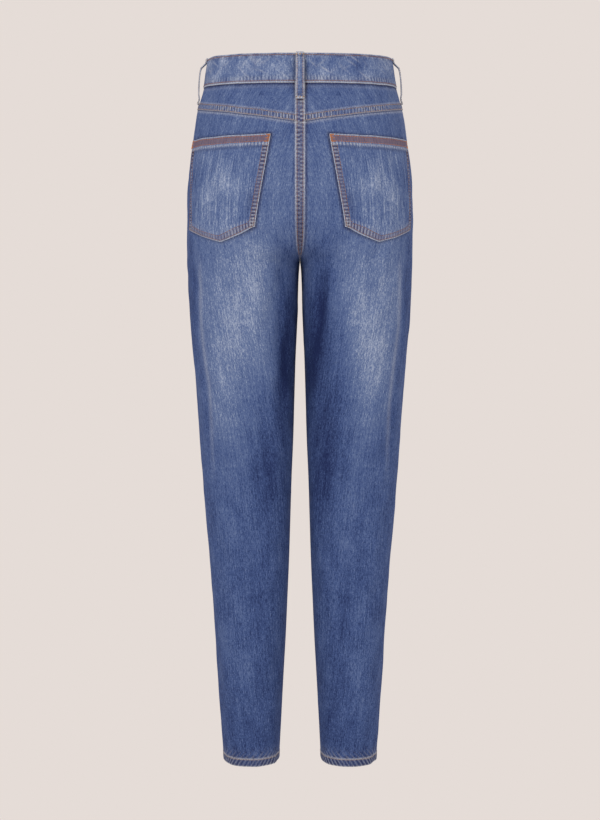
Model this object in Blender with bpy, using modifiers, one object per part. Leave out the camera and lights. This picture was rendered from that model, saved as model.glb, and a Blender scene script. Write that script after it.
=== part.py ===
"""Mid-blue mom jeans, filled out as if worn: a Blender model of their sewn pieces at real size.

Units are metres. The origin is the middle of the waistband's ring, at half the band's height.
+Z is up, the front faces -Y, and the wearer's left side is at +X.
"""

import math

import bmesh
import bpy
import numpy as np

COLLECTION = "mom_jeans"
SIDES = (("left", 1), ("right", -1))

# Lengths down the garment
BAND_HEIGHT = 0.041
BAND_TOP = BAND_HEIGHT / 2
BAND_BOTTOM = -BAND_HEIGHT / 2
CROTCH_Z = -0.2655
HEM_Z = -0.985
HEM_HEIGHT = 0.0115

# Cloth and seams
DENIM = 0.0014
SEAM_GAP = 0.0003
SEAM_RAISE = 0.0008
SEAM_HALF_WIDTH = 0.0055
YOKE_BAND = 0.0095
STEP_WIDTH = 0.0011
SIDE_SEAM = -0.005
HEM_OUT = 0.0003
HEM_IN = 0.0025

# Waistband
BAND_OUT = 0.0010
BAND_IN = 0.0016
BAND_EDGE = 0.0016
BAND_EDGE_ROLL = 0.0006
BAND_LEFT_END = 0.006
BAND_RIGHT_UNDERLAP = 0.034
BAND_DIVE = 0.0030
BAND_DIVE_FROM = 0.026
BAND_DIVE_TO = 0.008

# Back yoke: how far its lower edge lies under the waistband, at the centre back and at the side
YOKE_AT_BACK = 0.054
YOKE_AT_SIDE = 0.030
YOKE_CURVE = 1.4

# Back patch pocket. Distances run along the cloth from the centre back seam, heights are levels.
POCKET_TOP_INNER_Z = -0.091
POCKET_TOP_OUTER_Z = -0.096
POCKET_LOW_INNER_Z = -0.216
POCKET_POINT_Z = -0.237
POCKET_LOW_OUTER_Z = -0.220
POCKET_TOP_FROM_BACK = (0.040, 0.181)
POCKET_LOW_FROM_BACK = (0.063, 0.180)
POCKET_HEM = 0.0125
POCKET_HEM_RAISE = 0.0009
POCKET_MOUTH_BOW = 0.0008

# Front scoop pocket, fly and zip
SCOOP_WIDTH = 0.056
SCOOP_DEPTH = 0.070
FACING_UNDER = 0.016
FLY_OVERLAP = 0.006
FLY_STRAIGHT_Z = -0.132
FLY_END_Z = -0.152
FLY_DIVE = 0.0020
FLY_DIVE_FROM = 0.032
FLY_DIVE_TO = 0.009
ZIP_TOP_Z = -0.0225
ZIP_BOTTOM_Z = -0.146
ZIP_TAPE = 0.0007
SLIDER_LENGTH = 0.010
SLIDER_WIDTH = 0.008
SLIDER_THICK = 0.0016
SLIDER_X = 0.0048
TAB_LENGTH = 0.018
TAB_WIDTH = 0.0045

# Belt loops
LOOP_HALF_WIDTH = 0.0057
LOOP_THICK = 0.0018
LOOP_STAND = 0.0066
FRONT_LOOP_STAND = 0.0076
LOOP_BELOW_BAND = 0.023

# Button
BUTTON_RADIUS = 0.0085
BUTTON_HEIGHT = 0.0030
BUTTON_X = 0.009

# One row a level of one leg's ring. It reaches x = outer at the side and x = inner between the legs.
# Above the crotch inner is under zero, where the two legs' rings cross, and the cloth stops at x = 0.
# back and front are the ring's depths. The powers shape its curve: 2 is an ellipse, more is squarer.
SECTION_COLUMNS = ("z", "outer", "inner", "back", "front", "power_back", "power_front")
SECTIONS = (
    (0.030, 0.1275, -0.1275, 0.091, 0.093, 2.45, 2.35),
    (0.000, 0.1325, -0.1325, 0.094, 0.097, 2.45, 2.35),
    (-0.0205, 0.1360, -0.1360, 0.098, 0.100, 2.45, 2.35),
    (-0.055, 0.1455, -0.1380, 0.108, 0.106, 2.45, 2.40),
    (-0.094, 0.1513, -0.1300, 0.115, 0.108, 2.45, 2.45),
    (-0.122, 0.1553, -0.1200, 0.118, 0.108, 2.45, 2.50),
    (-0.160, 0.1590, -0.1020, 0.119, 0.106, 2.45, 2.50),
    (-0.206, 0.1603, -0.0655, 0.116, 0.101, 2.45, 2.50),
    (-0.240, 0.1603, -0.0283, 0.108, 0.097, 2.40, 2.45),
    (-0.2655, 0.1600, 0.0002, 0.101, 0.094, 2.35, 2.35),
    (-0.290, 0.1593, 0.0021, 0.097, 0.092, 2.30, 2.30),
    (-0.347, 0.1569, 0.0037, 0.091, 0.090, 2.25, 2.25),
    (-0.403, 0.1518, 0.0063, 0.084, 0.088, 2.20, 2.20),
    (-0.460, 0.1477, 0.0080, 0.077, 0.087, 2.20, 2.20),
    (-0.517, 0.1438, 0.0096, 0.069, 0.086, 2.20, 2.20),
    (-0.575, 0.1398, 0.0121, 0.062, 0.083, 2.20, 2.20),
    (-0.632, 0.1356, 0.0138, 0.060, 0.077, 2.20, 2.20),
    (-0.690, 0.1306, 0.0156, 0.061, 0.070, 2.20, 2.20),
    (-0.748, 0.1263, 0.0181, 0.063, 0.065, 2.20, 2.20),
    (-0.806, 0.1224, 0.0207, 0.062, 0.061, 2.20, 2.20),
    (-0.864, 0.1192, 0.0240, 0.059, 0.058, 2.20, 2.20),
    (-0.923, 0.1152, 0.0271, 0.056, 0.055, 2.20, 2.20),
    (-0.990, 0.1108, 0.0306, 0.053, 0.053, 2.20, 2.20),
)

# The largest soft folds. around is the distance along the cloth from the side's outermost line, plus to
# the back. lean turns the fold from upright, and height is out of the cloth, or into it if under zero.
FOLD_COLUMNS = ("side", "z", "around", "lean", "length", "width", "height")
FOLDS = (
    ("left", -0.350, 0.196, 7, 0.105, 0.018, -0.0032),
    ("left", -0.375, 0.158, 4, 0.120, 0.020, 0.0022),
    ("left", -0.460, 0.085, -4, 0.110, 0.026, 0.0016),
    ("left", -0.570, 0.120, 12, 0.060, 0.018, -0.0020),
    ("left", -0.615, 0.060, -20, 0.050, 0.016, 0.0018),
    ("left", -0.720, 0.100, 6, 0.100, 0.019, -0.0022),
    ("left", -0.830, 0.055, -8, 0.080, 0.018, 0.0018),
    ("left", -0.900, 0.095, 15, 0.045, 0.015, -0.0015),
    ("left", -0.420, -0.090, 5, 0.110, 0.026, -0.0020),
    ("left", -0.590, -0.110, 50, 0.050, 0.020, 0.0020),
    ("left", -0.800, -0.070, -6, 0.110, 0.020, 0.0020),
    ("right", -0.345, 0.190, 10, 0.110, 0.019, -0.0034),
    ("right", -0.365, 0.150, 6, 0.110, 0.021, 0.0020),
    ("right", -0.480, 0.090, 5, 0.120, 0.024, 0.0018),
    ("right", -0.560, 0.125, -10, 0.060, 0.018, -0.0018),
    ("right", -0.650, 0.070, 16, 0.055, 0.017, 0.0018),
    ("right", -0.740, 0.095, -5, 0.090, 0.018, -0.0022),
    ("right", -0.850, 0.060, 9, 0.085, 0.018, 0.0016),
    ("right", -0.905, 0.100, -14, 0.040, 0.015, -0.0015),
    ("right", -0.400, -0.085, -6, 0.110, 0.026, -0.0020),
    ("right", -0.610, -0.105, -48, 0.050, 0.020, 0.0020),
    ("right", -0.790, -0.075, 7, 0.110, 0.020, 0.0018),
)

# Where each belt loop stands: its distance from the side's outermost line, plus to the back
SIDE_LOOP_AROUND = 0.006
FRONT_LOOP_FROM_MIDDLE = 0.074

RING_POINTS = 241
LEVEL_STEP = 0.002
CROTCH_STEP = 0.00025
CROTCH_ZONE = 0.030

# Colours as they look in the photograph, as 8-bit sRGB values
SEAT_BLUE = (88, 106, 143)
LEG_BLUE = (78, 97, 138)
POCKET_BLUE = (99, 116, 150)
BAND_BLUE = (100, 116, 148)
TAPE_BLUE = (40, 48, 70)
METAL_BROWN = (120, 104, 84)
DENIM_ROUGHNESS = 0.9


def remove_everything():
    for old in list(bpy.data.objects):
        bpy.data.objects.remove(old)


def make_collection():
    group = bpy.data.collections.new(COLLECTION)
    bpy.context.scene.collection.children.link(group)
    return group


def linear(channel):
    """One sRGB channel from 0 to 255 as linear light."""
    value = channel / 255
    if value <= 0.04045:
        return value / 12.92
    return ((value + 0.055) / 1.055) ** 2.4


def make_material(name, colour, roughness=DENIM_ROUGHNESS, metallic=0.0):
    material = bpy.data.materials.new(name)
    material.use_nodes = True
    surface = material.node_tree.nodes["Principled BSDF"]
    surface.inputs["Base Color"].default_value = (*map(linear, colour), 1.0)
    surface.inputs["Roughness"].default_value = roughness
    surface.inputs["Metallic"].default_value = metallic
    return material


def smooth_slopes(place, value):
    """Slopes of a cubic curve through the rows that doesn't overshoot between them."""
    rise = np.diff(value) / np.diff(place)
    before, after = rise[:-1], rise[1:]
    same_way = before * after > 0
    slopes = np.zeros_like(value)
    slopes[0], slopes[-1] = rise[0], rise[-1]
    inner = slopes[1:-1]
    inner[same_way] = 2 * (before * after)[same_way] / (before + after)[same_way]
    return slopes


def smooth_curve(place, value, at):
    """The cubic curve through (place, value), read at the given places."""
    slopes = smooth_slopes(place, value)
    left = np.clip(np.searchsorted(place, at) - 1, 0, len(place) - 2)
    width = place[left + 1] - place[left]
    t = (at - place[left]) / width
    return (
        value[left] * (1 + 2 * t) * (1 - t) ** 2
        + value[left + 1] * t**2 * (3 - 2 * t)
        + slopes[left] * width * t * (1 - t) ** 2
        - slopes[left + 1] * width * t**2 * (1 - t)
    )


def read_section(column, z):
    """One column of SECTIONS at the given levels."""
    rows = np.array(SECTIONS)[::-1]
    return smooth_curve(rows[:, 0], rows[:, SECTION_COLUMNS.index(column)], z)


def half_ring(outer, inner, depth, power):
    """(x, y, length) of evenly spaced points on half a ring, from its outer side to its inner side."""
    angle = np.linspace(0, math.pi, 4 * RING_POINTS)
    centre, reach = (outer + inner) / 2, (outer - inner) / 2
    x = centre + reach * np.sign(np.cos(angle)) * np.abs(np.cos(angle)) ** (2 / power)
    y = depth * np.abs(np.sin(angle)) ** (2 / power)
    along = np.concatenate([[0], np.cumsum(np.hypot(np.diff(x), np.diff(y)))])
    even = np.linspace(0, along[-1], RING_POINTS)
    return np.interp(even, along, x), np.interp(even, along, y), along[-1]


def surface_levels():
    """Levels from the hem up, closer together at the crotch."""
    top, bottom = SECTIONS[0][0], SECTIONS[-1][0]
    coarse = np.linspace(bottom, top, round((top - bottom) / LEVEL_STEP) + 1)
    count = round(CROTCH_ZONE / CROTCH_STEP) + 1
    fine = np.linspace(CROTCH_Z, CROTCH_Z + CROTCH_ZONE, count)
    return np.unique(np.round(np.concatenate([coarse, fine]), 6))


def make_surface():
    """The bare surface of one half as tables: a row a level, a column a place along the ring.

    Columns run from the inner side round the front to the outer side, and on round the back.
    """
    levels = surface_levels()
    names = SECTION_COLUMNS[1:]
    sizes = {name: read_section(name, levels) for name in names}
    points = np.zeros((len(levels), 2 * RING_POINTS - 1, 3))
    lengths = np.zeros((len(levels), 2))
    middles = np.zeros((len(levels), 2))
    for row, z in enumerate(levels):
        for face, name in enumerate(("back", "front")):
            x, y, length = half_ring(
                sizes["outer"][row], sizes["inner"][row], sizes[name][row], sizes["power_" + name][row]
            )
            part = slice(RING_POINTS - 1, None) if name == "back" else slice(RING_POINTS - 1, None, -1)
            points[row, part, 0] = x
            points[row, part, 1] = y if name == "back" else -y
            lengths[row, face] = length
            middles[row, face] = np.interp(0.0, -x, np.linspace(0, length, RING_POINTS))
        points[row, :, 2] = z
    round_way = np.gradient(points, axis=1)
    upward = np.gradient(points, levels, axis=0)
    normals = np.cross(round_way, upward)
    normals /= np.linalg.norm(normals, axis=2, keepdims=True)
    return levels, points, normals, lengths, middles


LEVELS, POINTS, NORMALS, LENGTHS, MIDDLES = make_surface()


def read_table(table, row, column):
    """The table between its entries, at fractional rows and columns."""
    row = np.clip(row, 0, table.shape[0] - 1.000001)
    column = np.clip(column, 0, table.shape[1] - 1.000001)
    r, c = row.astype(int), column.astype(int)
    down, over = (row - r)[..., None], (column - c)[..., None]
    upper = table[r, c] * (1 - over) + table[r, c + 1] * over
    lower = table[r + 1, c] * (1 - over) + table[r + 1, c + 1] * over
    return upper * (1 - down) + lower * down


def back_length(z):
    return np.interp(z, LEVELS, LENGTHS[:, 0])


def front_length(z):
    return np.interp(z, LEVELS, LENGTHS[:, 1])


def back_middle(z):
    """How far the cloth runs along the back from the side's outermost line to x = 0, or to the inseam."""
    return np.interp(z, LEVELS, MIDDLES[:, 0])


def front_middle(z):
    return np.interp(z, LEVELS, MIDDLES[:, 1])


def fold_height(side, z, around):
    """How far the soft folds move the cloth out at these places."""
    height = np.zeros(np.shape(z))
    for row in FOLDS:
        fold = dict(zip(FOLD_COLUMNS, row))
        if fold["side"] != side:
            continue
        lean = math.radians(fold["lean"])
        up, over = z - fold["z"], around - fold["around"]
        along = up * math.cos(lean) + over * math.sin(lean)
        across = over * math.cos(lean) - up * math.sin(lean)
        height += fold["height"] * np.exp(-((along / fold["length"]) ** 2) - (across / fold["width"]) ** 2)
    return height


def cloth(side, z, around, lift=0.0):
    """Points lift metres outside the cloth of one side, at the given levels and distances around.

    A distance past the middle of the back or front carries on over the other half.
    """
    z, around, lift = np.broadcast_arrays(
        np.asarray(z, float), np.asarray(around, float), np.asarray(lift, float)
    )
    past_back = np.where(z > CROTCH_Z, np.maximum(around - back_middle(z), 0), 0)
    past_front = np.where(z > CROTCH_Z, np.maximum(-around - front_middle(z), 0), 0)
    around = around - 2 * past_back + 2 * past_front
    share = np.where(around >= 0, around / back_length(z), around / front_length(z))
    row = np.interp(z, LEVELS, np.arange(len(LEVELS)))
    column = (share + 1) * (RING_POINTS - 1)
    point = read_table(POINTS, row, column)
    normal = read_table(NORMALS, row, column)
    normal /= np.linalg.norm(normal, axis=-1, keepdims=True)
    point = point + normal * (lift + fold_height(side, z, around))[..., None]
    crossed = (past_back > 0) | (past_front > 0)
    point[..., 0] *= np.where(crossed, -1.0, 1.0)
    if side == "right":
        point[..., 0] *= -1
    return point


def keep_to_side(side, points):
    """The same points, none nearer the middle than half a seam gap."""
    sign = dict(SIDES)[side]
    points[..., 0] = sign * np.maximum(sign * points[..., 0], SEAM_GAP / 2)
    return points


def add_object(name, mesh, material, group):
    for polygon in mesh.polygons:
        polygon.use_smooth = True
    mesh.set_sharp_from_angle(angle=math.radians(35))
    mesh.materials.append(material)
    made = bpy.data.objects.new(name, mesh)
    group.objects.link(made)
    return made


def cloth_wall(name, outer, inner, material, group):
    """A closed wall between two grids of points: its two faces, and a rim all round."""
    rows, columns = outer.shape[:2]
    shape = bmesh.new()
    faces = [[[shape.verts.new(point) for point in line] for line in grid] for grid in (outer, inner)]
    for grid in faces:
        for r in range(rows - 1):
            for c in range(columns - 1):
                shape.faces.new((grid[r][c], grid[r + 1][c], grid[r + 1][c + 1], grid[r][c + 1]))
    edge = [(r, 0) for r in range(rows)]
    edge += [(rows - 1, c) for c in range(1, columns)]
    edge += [(r, columns - 1) for r in range(rows - 2, -1, -1)]
    edge += [(0, c) for c in range(columns - 2, 0, -1)]
    for (r, c), (r_next, c_next) in zip(edge, edge[1:] + edge[:1]):
        shape.faces.new((faces[0][r][c], faces[0][r_next][c_next], faces[1][r_next][c_next], faces[1][r][c]))
    bmesh.ops.recalc_face_normals(shape, faces=shape.faces)
    mesh = bpy.data.meshes.new(name)
    shape.to_mesh(mesh)
    shape.free()
    return add_object(name, mesh, material, group)


def step_up(distance, edge, width=STEP_WIDTH):
    """1 inside the edge and 0 past it, with a slope of the given width between."""
    return np.clip((edge + width - distance) / width, 0, 1)


def pocket_edges(z):
    """Distances around of the pocket's outer and inner edges, and of the columns that carry them on."""
    top_z = (POCKET_TOP_INNER_Z + POCKET_TOP_OUTER_Z) / 2
    low_z = (POCKET_LOW_INNER_Z + POCKET_LOW_OUTER_Z) / 2
    down = np.clip((top_z - z) / (top_z - low_z), 0, 1)
    from_back = [
        first + (last - first) * down for first, last in zip(POCKET_TOP_FROM_BACK, POCKET_LOW_FROM_BACK)
    ]
    middle = back_middle(np.maximum(z, low_z))
    outer, inner = middle - from_back[1], middle - from_back[0]
    blend = np.clip((low_z - z) / (low_z - CROTCH_Z), 0, 1)
    outer = outer * (1 - blend) + 0.17 * back_length(z) * blend
    inner = inner * (1 - blend) + 0.64 * back_length(z) * blend
    return outer, inner


def back_columns(z):
    """Distances around of the back's columns at one level, from the side seam to the middle."""
    side = SIDE_SEAM + SEAM_GAP / 2
    outer, inner = pocket_edges(z)
    end = back_middle(z) - SEAM_GAP / 2
    strip = back_middle(z) - SEAM_HALF_WIDTH
    columns = [side, (side + outer) / 2]
    columns += list(outer + (inner - outer) * np.linspace(0, 1, 7))
    columns += list(inner + (strip - STEP_WIDTH - inner) * np.linspace(0, 1, 5)[1:])
    columns += [strip, end]
    return columns


POCKET_FIRST_COLUMN = 2
POCKET_LAST_COLUMN = 8
POCKET_POINT_COLUMN = 5
BACK_COLUMNS = len(back_columns(0.0))


def yoke_line(share):
    """Level of the yoke's lower edge, at a share from the side seam (0) to the centre back (1)."""
    return BAND_BOTTOM - YOKE_AT_SIDE - (YOKE_AT_BACK - YOKE_AT_SIDE) * share**YOKE_CURVE


def pocket_line(column, at_outer, at_middle, at_inner):
    """Level of a line across the back that is given at the pocket's two edges and at its middle."""
    places = (0, POCKET_FIRST_COLUMN, POCKET_POINT_COLUMN, POCKET_LAST_COLUMN, BACK_COLUMNS - 1)
    return np.interp(column, places, (at_outer, at_outer, at_middle, at_inner, at_inner))


def back_row_levels():
    """The back leg's levels, a list for each row, from the yoke to the hem, and the pocket's first and last row."""
    column = np.arange(BACK_COLUMNS)
    top_middle = (POCKET_TOP_OUTER_Z + POCKET_TOP_INNER_Z) / 2
    yoke = yoke_line(column / (BACK_COLUMNS - 1)) - SEAM_GAP / 2
    mouth = pocket_line(column, POCKET_TOP_OUTER_Z, top_middle, POCKET_TOP_INNER_Z)
    low = pocket_line(column, POCKET_LOW_OUTER_Z, POCKET_POINT_Z, POCKET_LOW_INNER_Z)
    hem_line = mouth - POCKET_HEM
    rows = [yoke, (yoke + mouth) / 2, mouth, hem_line, hem_line - STEP_WIDTH]
    rows += [rows[4] + (low - rows[4]) * share for share in (0.25, 0.5, 0.75, 1.0)]
    rows += [low + (CROTCH_Z - low) * share for share in (0.28, 0.53, 0.73, 0.87, 0.96, 1.0)]
    rows += [np.full(BACK_COLUMNS, z) for z in leg_levels()]
    return np.array(rows), 2, 8


def leg_levels():
    """Levels below the crotch: close together under it, then even, with the hem's own rows last."""
    upper = [CROTCH_Z - drop for drop in (0.005, 0.014, 0.028)]
    hem_start = HEM_Z + HEM_HEIGHT
    even = list(np.linspace(CROTCH_Z - 0.046, hem_start + STEP_WIDTH, 26))
    return upper + even + [hem_start, HEM_Z]


def hem_lifts(z, outer, inner):
    """Outer and inner lifts of a leg, with the hem's folded edge thicker."""
    hem = step_up(z - HEM_Z, HEM_HEIGHT)
    return outer + HEM_OUT * hem, inner - (HEM_IN - DENIM) * hem


def back_seam_raise(z, around):
    """Raise of the felled centre back seam, which fades out towards the crotch."""
    fade = np.clip((z - CROTCH_Z) / 0.03, 0, 1)
    return SEAM_RAISE * fade * step_up(back_middle(z) - around, SEAM_HALF_WIDTH)


def back_grid_places():
    """Levels and distances around of every point of the back leg's grid."""
    levels, first, last = back_row_levels()
    around = np.array(
        [[back_columns(z)[column] for column, z in enumerate(row)] for row in levels]
    )
    return levels, around, first, last


def build_back_leg(side, material, group):
    z, around, _, _ = back_grid_places()
    raised = back_seam_raise(z, around)
    out, into = hem_lifts(z, raised, np.full(z.shape, -DENIM))
    outer = keep_to_side(side, cloth(side, z, around, out))
    inner = keep_to_side(side, cloth(side, z, around, into))
    cloth_wall(f"back_leg_{side}", outer, inner, material, group)


def build_yoke(side, material, group):
    column = np.arange(BACK_COLUMNS)
    low = yoke_line(column / (BACK_COLUMNS - 1)) + SEAM_GAP / 2
    top = np.full(BACK_COLUMNS, BAND_BOTTOM - SEAM_GAP)
    band_start = low + YOKE_BAND
    rows = [top, (top * 2 + band_start + STEP_WIDTH) / 3, band_start + STEP_WIDTH, band_start, low]
    z = np.array(rows)
    around = np.array([[back_columns(level)[c] for c, level in enumerate(row)] for row in z])
    raised = SEAM_RAISE * step_up(z - low, YOKE_BAND)
    raised = np.maximum(raised, back_seam_raise(z, around))
    outer = keep_to_side(side, cloth(side, z, around, raised))
    inner = keep_to_side(side, cloth(side, z, around, -DENIM))
    cloth_wall(f"back_yoke_{side}", outer, inner, material, group)


def build_back_pocket(side, material, group):
    """The patch pocket, on the back leg's own points between the pocket's rows and columns."""
    z, around, first, last = back_grid_places()
    rows, columns = slice(first, last + 1), slice(POCKET_FIRST_COLUMN, POCKET_LAST_COLUMN + 1)
    z, around = z[rows, columns], around[rows, columns]
    hem = np.zeros(z.shape)
    hem[:2] = POCKET_HEM_RAISE
    across = np.linspace(0, math.pi, z.shape[1])
    bow = np.zeros(z.shape)
    bow[0] = POCKET_MOUTH_BOW * np.sin(across)
    outer = cloth(side, z, around, SEAM_GAP + DENIM + hem + bow)
    inner = cloth(side, z, around, SEAM_GAP + bow)
    cloth_wall(f"back_pocket_{side}", outer, inner, material, group)


def scoop_width(z):
    """How far the front pocket's mouth cuts in from the side seam at a level."""
    down = np.clip((BAND_BOTTOM - z) / SCOOP_DEPTH, 0, 1)
    return SCOOP_WIDTH * np.sqrt(1 - down**2)


def fly_reach(z):
    """How far the left front laps past the middle: straight down the fly, then curved in to its end."""
    t = np.clip((z - FLY_END_Z) / (FLY_STRAIGHT_Z - FLY_END_Z), 0, 1)
    return (FLY_OVERLAP + SEAM_GAP / 2) * np.sqrt(1 - (1 - t) ** 2) - SEAM_GAP / 2


def front_row_levels():
    scoop = [BAND_BOTTOM - SCOOP_DEPTH * math.sin(math.radians(turn)) for turn in (22, 40, 56, 70, 81, 90)]
    rows = [BAND_BOTTOM - SEAM_GAP] + scoop
    rows += [-0.104, -0.118, FLY_STRAIGHT_Z, -0.141, -0.148, FLY_END_Z, -0.168, -0.190, -0.212]
    rows += [CROTCH_Z + rise for rise in (0.036, 0.023, 0.013, 0.0062, 0.002, 0.0)]
    return np.array(rows + leg_levels()), len(scoop)


def front_columns(side, z):
    """Distances around of the front's columns at one level, from the side seam or pocket mouth to the middle."""
    start = SIDE_SEAM - SEAM_GAP / 2 - scoop_width(z)
    middle = front_middle(z)
    if side == "left":
        ends = [-(middle - 0.024), -(middle - 0.010), -middle * 0.9999, -(middle + fly_reach(z))]
        if fly_reach(z) < SEAM_GAP:
            ends[2:] = [-(middle - 0.004), -(middle - SEAM_GAP / 2)]
    else:
        ends = [-(middle - FLY_DIVE_FROM), -(middle - 0.020), -(middle - FLY_DIVE_TO), -(middle - SEAM_GAP / 2)]
    first = start - FACING_UNDER
    return [start, first] + list(first + (ends[0] - first) * np.linspace(0, 1, 8)[1:]) + ends[1:]


def fly_dive(z, from_middle):
    """How far the right front's edge goes in, under the fly."""
    across = np.clip((FLY_DIVE_FROM - from_middle) / (FLY_DIVE_FROM - FLY_DIVE_TO), 0, 1)
    down = np.clip((z - FLY_END_Z + 0.030) / 0.030, 0, 1)
    return FLY_DIVE * across * down


def front_grid_places(side):
    levels, scoop_rows = front_row_levels()
    around = np.array([front_columns(side, z) for z in levels])
    z = np.repeat(levels[:, None], around.shape[1], axis=1)
    return z, around, scoop_rows


def build_front_leg(side, material, group):
    z, around, _ = front_grid_places(side)
    lift = np.zeros(z.shape)
    if side == "right":
        lift -= fly_dive(z, front_middle(z) + around)
    out, into = hem_lifts(z, lift, lift - DENIM)
    outer, inner = cloth(side, z, around, out), cloth(side, z, around, into)
    own = z < FLY_END_Z if side == "left" else np.full(z.shape, True)
    outer[own] = keep_to_side(side, outer[own])
    inner[own] = keep_to_side(side, inner[own])
    cloth_wall(f"front_leg_{side}", outer, inner, material, group)


def build_pocket_facing(side, material, group):
    """The piece that shows in the front pocket's mouth and runs a little way under the front."""
    z, around, scoop_rows = front_grid_places(side)
    last = scoop_rows + 1
    z, around = z[: last + 1], around[: last + 1]
    seam = SIDE_SEAM - SEAM_GAP / 2
    places = np.zeros((last + 1, 5))
    for row in range(last + 1):
        edge, under = around[row, 0], around[row, 1]
        if row < scoop_rows:
            places[row] = (seam, seam + (edge - seam) / 3, seam + (edge - seam) * 2 / 3, edge, under)
        else:
            places[row] = seam + (under - seam) * np.linspace(0, 1, 5)
    levels = np.repeat(z[:, :1], 5, axis=1)
    top = -(DENIM + SEAM_GAP)
    outer = cloth(side, levels, places, top)
    inner = cloth(side, levels, places, top - DENIM)
    for grid, lift in ((outer, top), (inner, top - DENIM)):
        for row in range(scoop_rows, last + 1):
            ends = cloth(side, levels[row, :2], around[row, :2], lift)
            grid[row] = ends[0] + (ends[1] - ends[0]) * np.linspace(0, 1, 5)[:, None]
    cloth_wall(f"pocket_facing_{side}", outer, inner, material, group)


def band_stations():
    """(side, distance from the middle back, dive) along the band, from its left end round the back to its right end."""
    length = float(back_middle(0.0) + front_middle(0.0))
    left_end, right_end = length + BAND_LEFT_END, length + BAND_RIGHT_UNDERLAP
    left = np.concatenate([[left_end], np.linspace(length, 0.004, 28)])
    ramp = [length - BAND_DIVE_FROM, length - (BAND_DIVE_FROM + BAND_DIVE_TO) / 2, length - BAND_DIVE_TO]
    right = np.concatenate([np.linspace(0.004, ramp[0], 25), ramp[1:], [length + 0.004, right_end]])
    stations = [("left", place, 0.0) for place in left]
    for place in right:
        dive = BAND_DIVE * np.clip((place - ramp[0]) / (ramp[2] - ramp[0]), 0, 1)
        stations.append(("right", place, dive))
    return stations


def build_waistband(material, group):
    levels = (BAND_TOP, BAND_TOP - BAND_EDGE, 0.0, BAND_BOTTOM + BAND_EDGE, BAND_BOTTOM)
    roll = (BAND_EDGE_ROLL, 0.0, 0.0, 0.0, BAND_EDGE_ROLL)
    outer, inner = [], []
    for z, rolled in zip(levels, roll):
        stretch = (back_middle(z) + front_middle(z)) / (back_middle(0.0) + front_middle(0.0))
        lines = ([], [])
        for side, place, dive in band_stations():
            around = back_middle(z) - place * stretch
            lines[0].append(cloth(side, z, around, BAND_OUT - rolled - dive))
            lines[1].append(cloth(side, z, around, -BAND_IN + rolled - dive))
        outer.append(lines[0])
        inner.append(lines[1])
    cloth_wall("waistband", np.array(outer), np.array(inner), material, group)


def build_belt_loop(name, side, around, foot_lift, stand_off, material, group):
    """A folded strip, sewn down above and below the waistband's face, which stands off it between."""
    foot = BAND_BOTTOM - LOOP_BELOW_BAND
    head_lift = BAND_OUT + SEAM_GAP + LOOP_THICK / 2
    foot_lift = foot_lift + SEAM_GAP + 0.0002 + LOOP_THICK / 2
    stand = stand_off + BAND_OUT + LOOP_THICK / 2
    path = np.array(
        [
            (BAND_TOP + 0.0010, head_lift),
            (BAND_TOP - 0.0060, head_lift + 0.0003),
            (BAND_TOP - 0.0100, (head_lift + stand) / 2),
            (BAND_TOP - 0.0150, stand),
            (0.0, stand + 0.0004),
            (BAND_BOTTOM + 0.0080, stand - 0.0002),
            (BAND_BOTTOM - 0.0020, stand * 0.82),
            (BAND_BOTTOM - 0.0090, (foot_lift + stand) / 2),
            (foot + 0.0070, foot_lift + 0.0003),
            (foot, foot_lift),
        ]
    )
    turn = np.gradient(path, axis=0)
    turn /= np.linalg.norm(turn, axis=1, keepdims=True)
    out = np.stack([turn[:, 1], -turn[:, 0]], axis=1)
    widths = np.array((-LOOP_HALF_WIDTH, 0.0, LOOP_HALF_WIDTH))
    grids = []
    for offset in (LOOP_THICK / 2, -LOOP_THICK / 2):
        line = path + out * offset
        z = np.repeat(line[:, :1], 3, axis=1)
        lift = np.repeat(line[:, 1:], 3, axis=1)
        grids.append(cloth(side, z, around(z) + widths[None, :], lift))
    cloth_wall(name, grids[0], grids[1], material, group)


def side_loop_place(z):
    return np.full(np.shape(z), SIDE_LOOP_AROUND)


def front_loop_place(z):
    return FRONT_LOOP_FROM_MIDDLE - front_middle(z)


def build_belt_loops(material, group):
    build_belt_loop("belt_loop_back", "left", back_middle, SEAM_RAISE, LOOP_STAND, material, group)
    for side, _ in SIDES:
        name = f"belt_loop_side_{side}"
        build_belt_loop(name, side, side_loop_place, SEAM_RAISE, LOOP_STAND, material, group)
        name = f"belt_loop_front_{side}"
        build_belt_loop(name, side, front_loop_place, 0.0, FRONT_LOOP_STAND, material, group)


def zip_places(levels, across):
    """Levels and distances around for places given by their distance from the middle, plus to the left."""
    z = np.repeat(np.array(levels)[:, None], len(across), axis=1)
    return z, np.array(across)[None, :] - front_middle(z)


def build_zip_tape(material, group):
    """The zip's tape: flat under the right front's edge, then up to the underside of the left front."""
    levels = np.linspace(ZIP_TOP_Z, ZIP_BOTTOM_Z, 8)
    across = (-0.011, -0.004, 0.002, 0.0102, 0.0160, 0.0280)
    deep = -(FLY_DIVE + DENIM + SEAM_GAP + 0.00005)
    high = -(DENIM + SEAM_GAP + 0.00005)
    lift = np.array((deep, deep, deep, deep, high, high))
    z, around = zip_places(levels, across)
    outer = cloth("left", z, around, lift[None, :])
    inner = cloth("left", z, around, lift[None, :] - ZIP_TAPE)
    cloth_wall("zip_tape", outer, inner, material, group)


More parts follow.
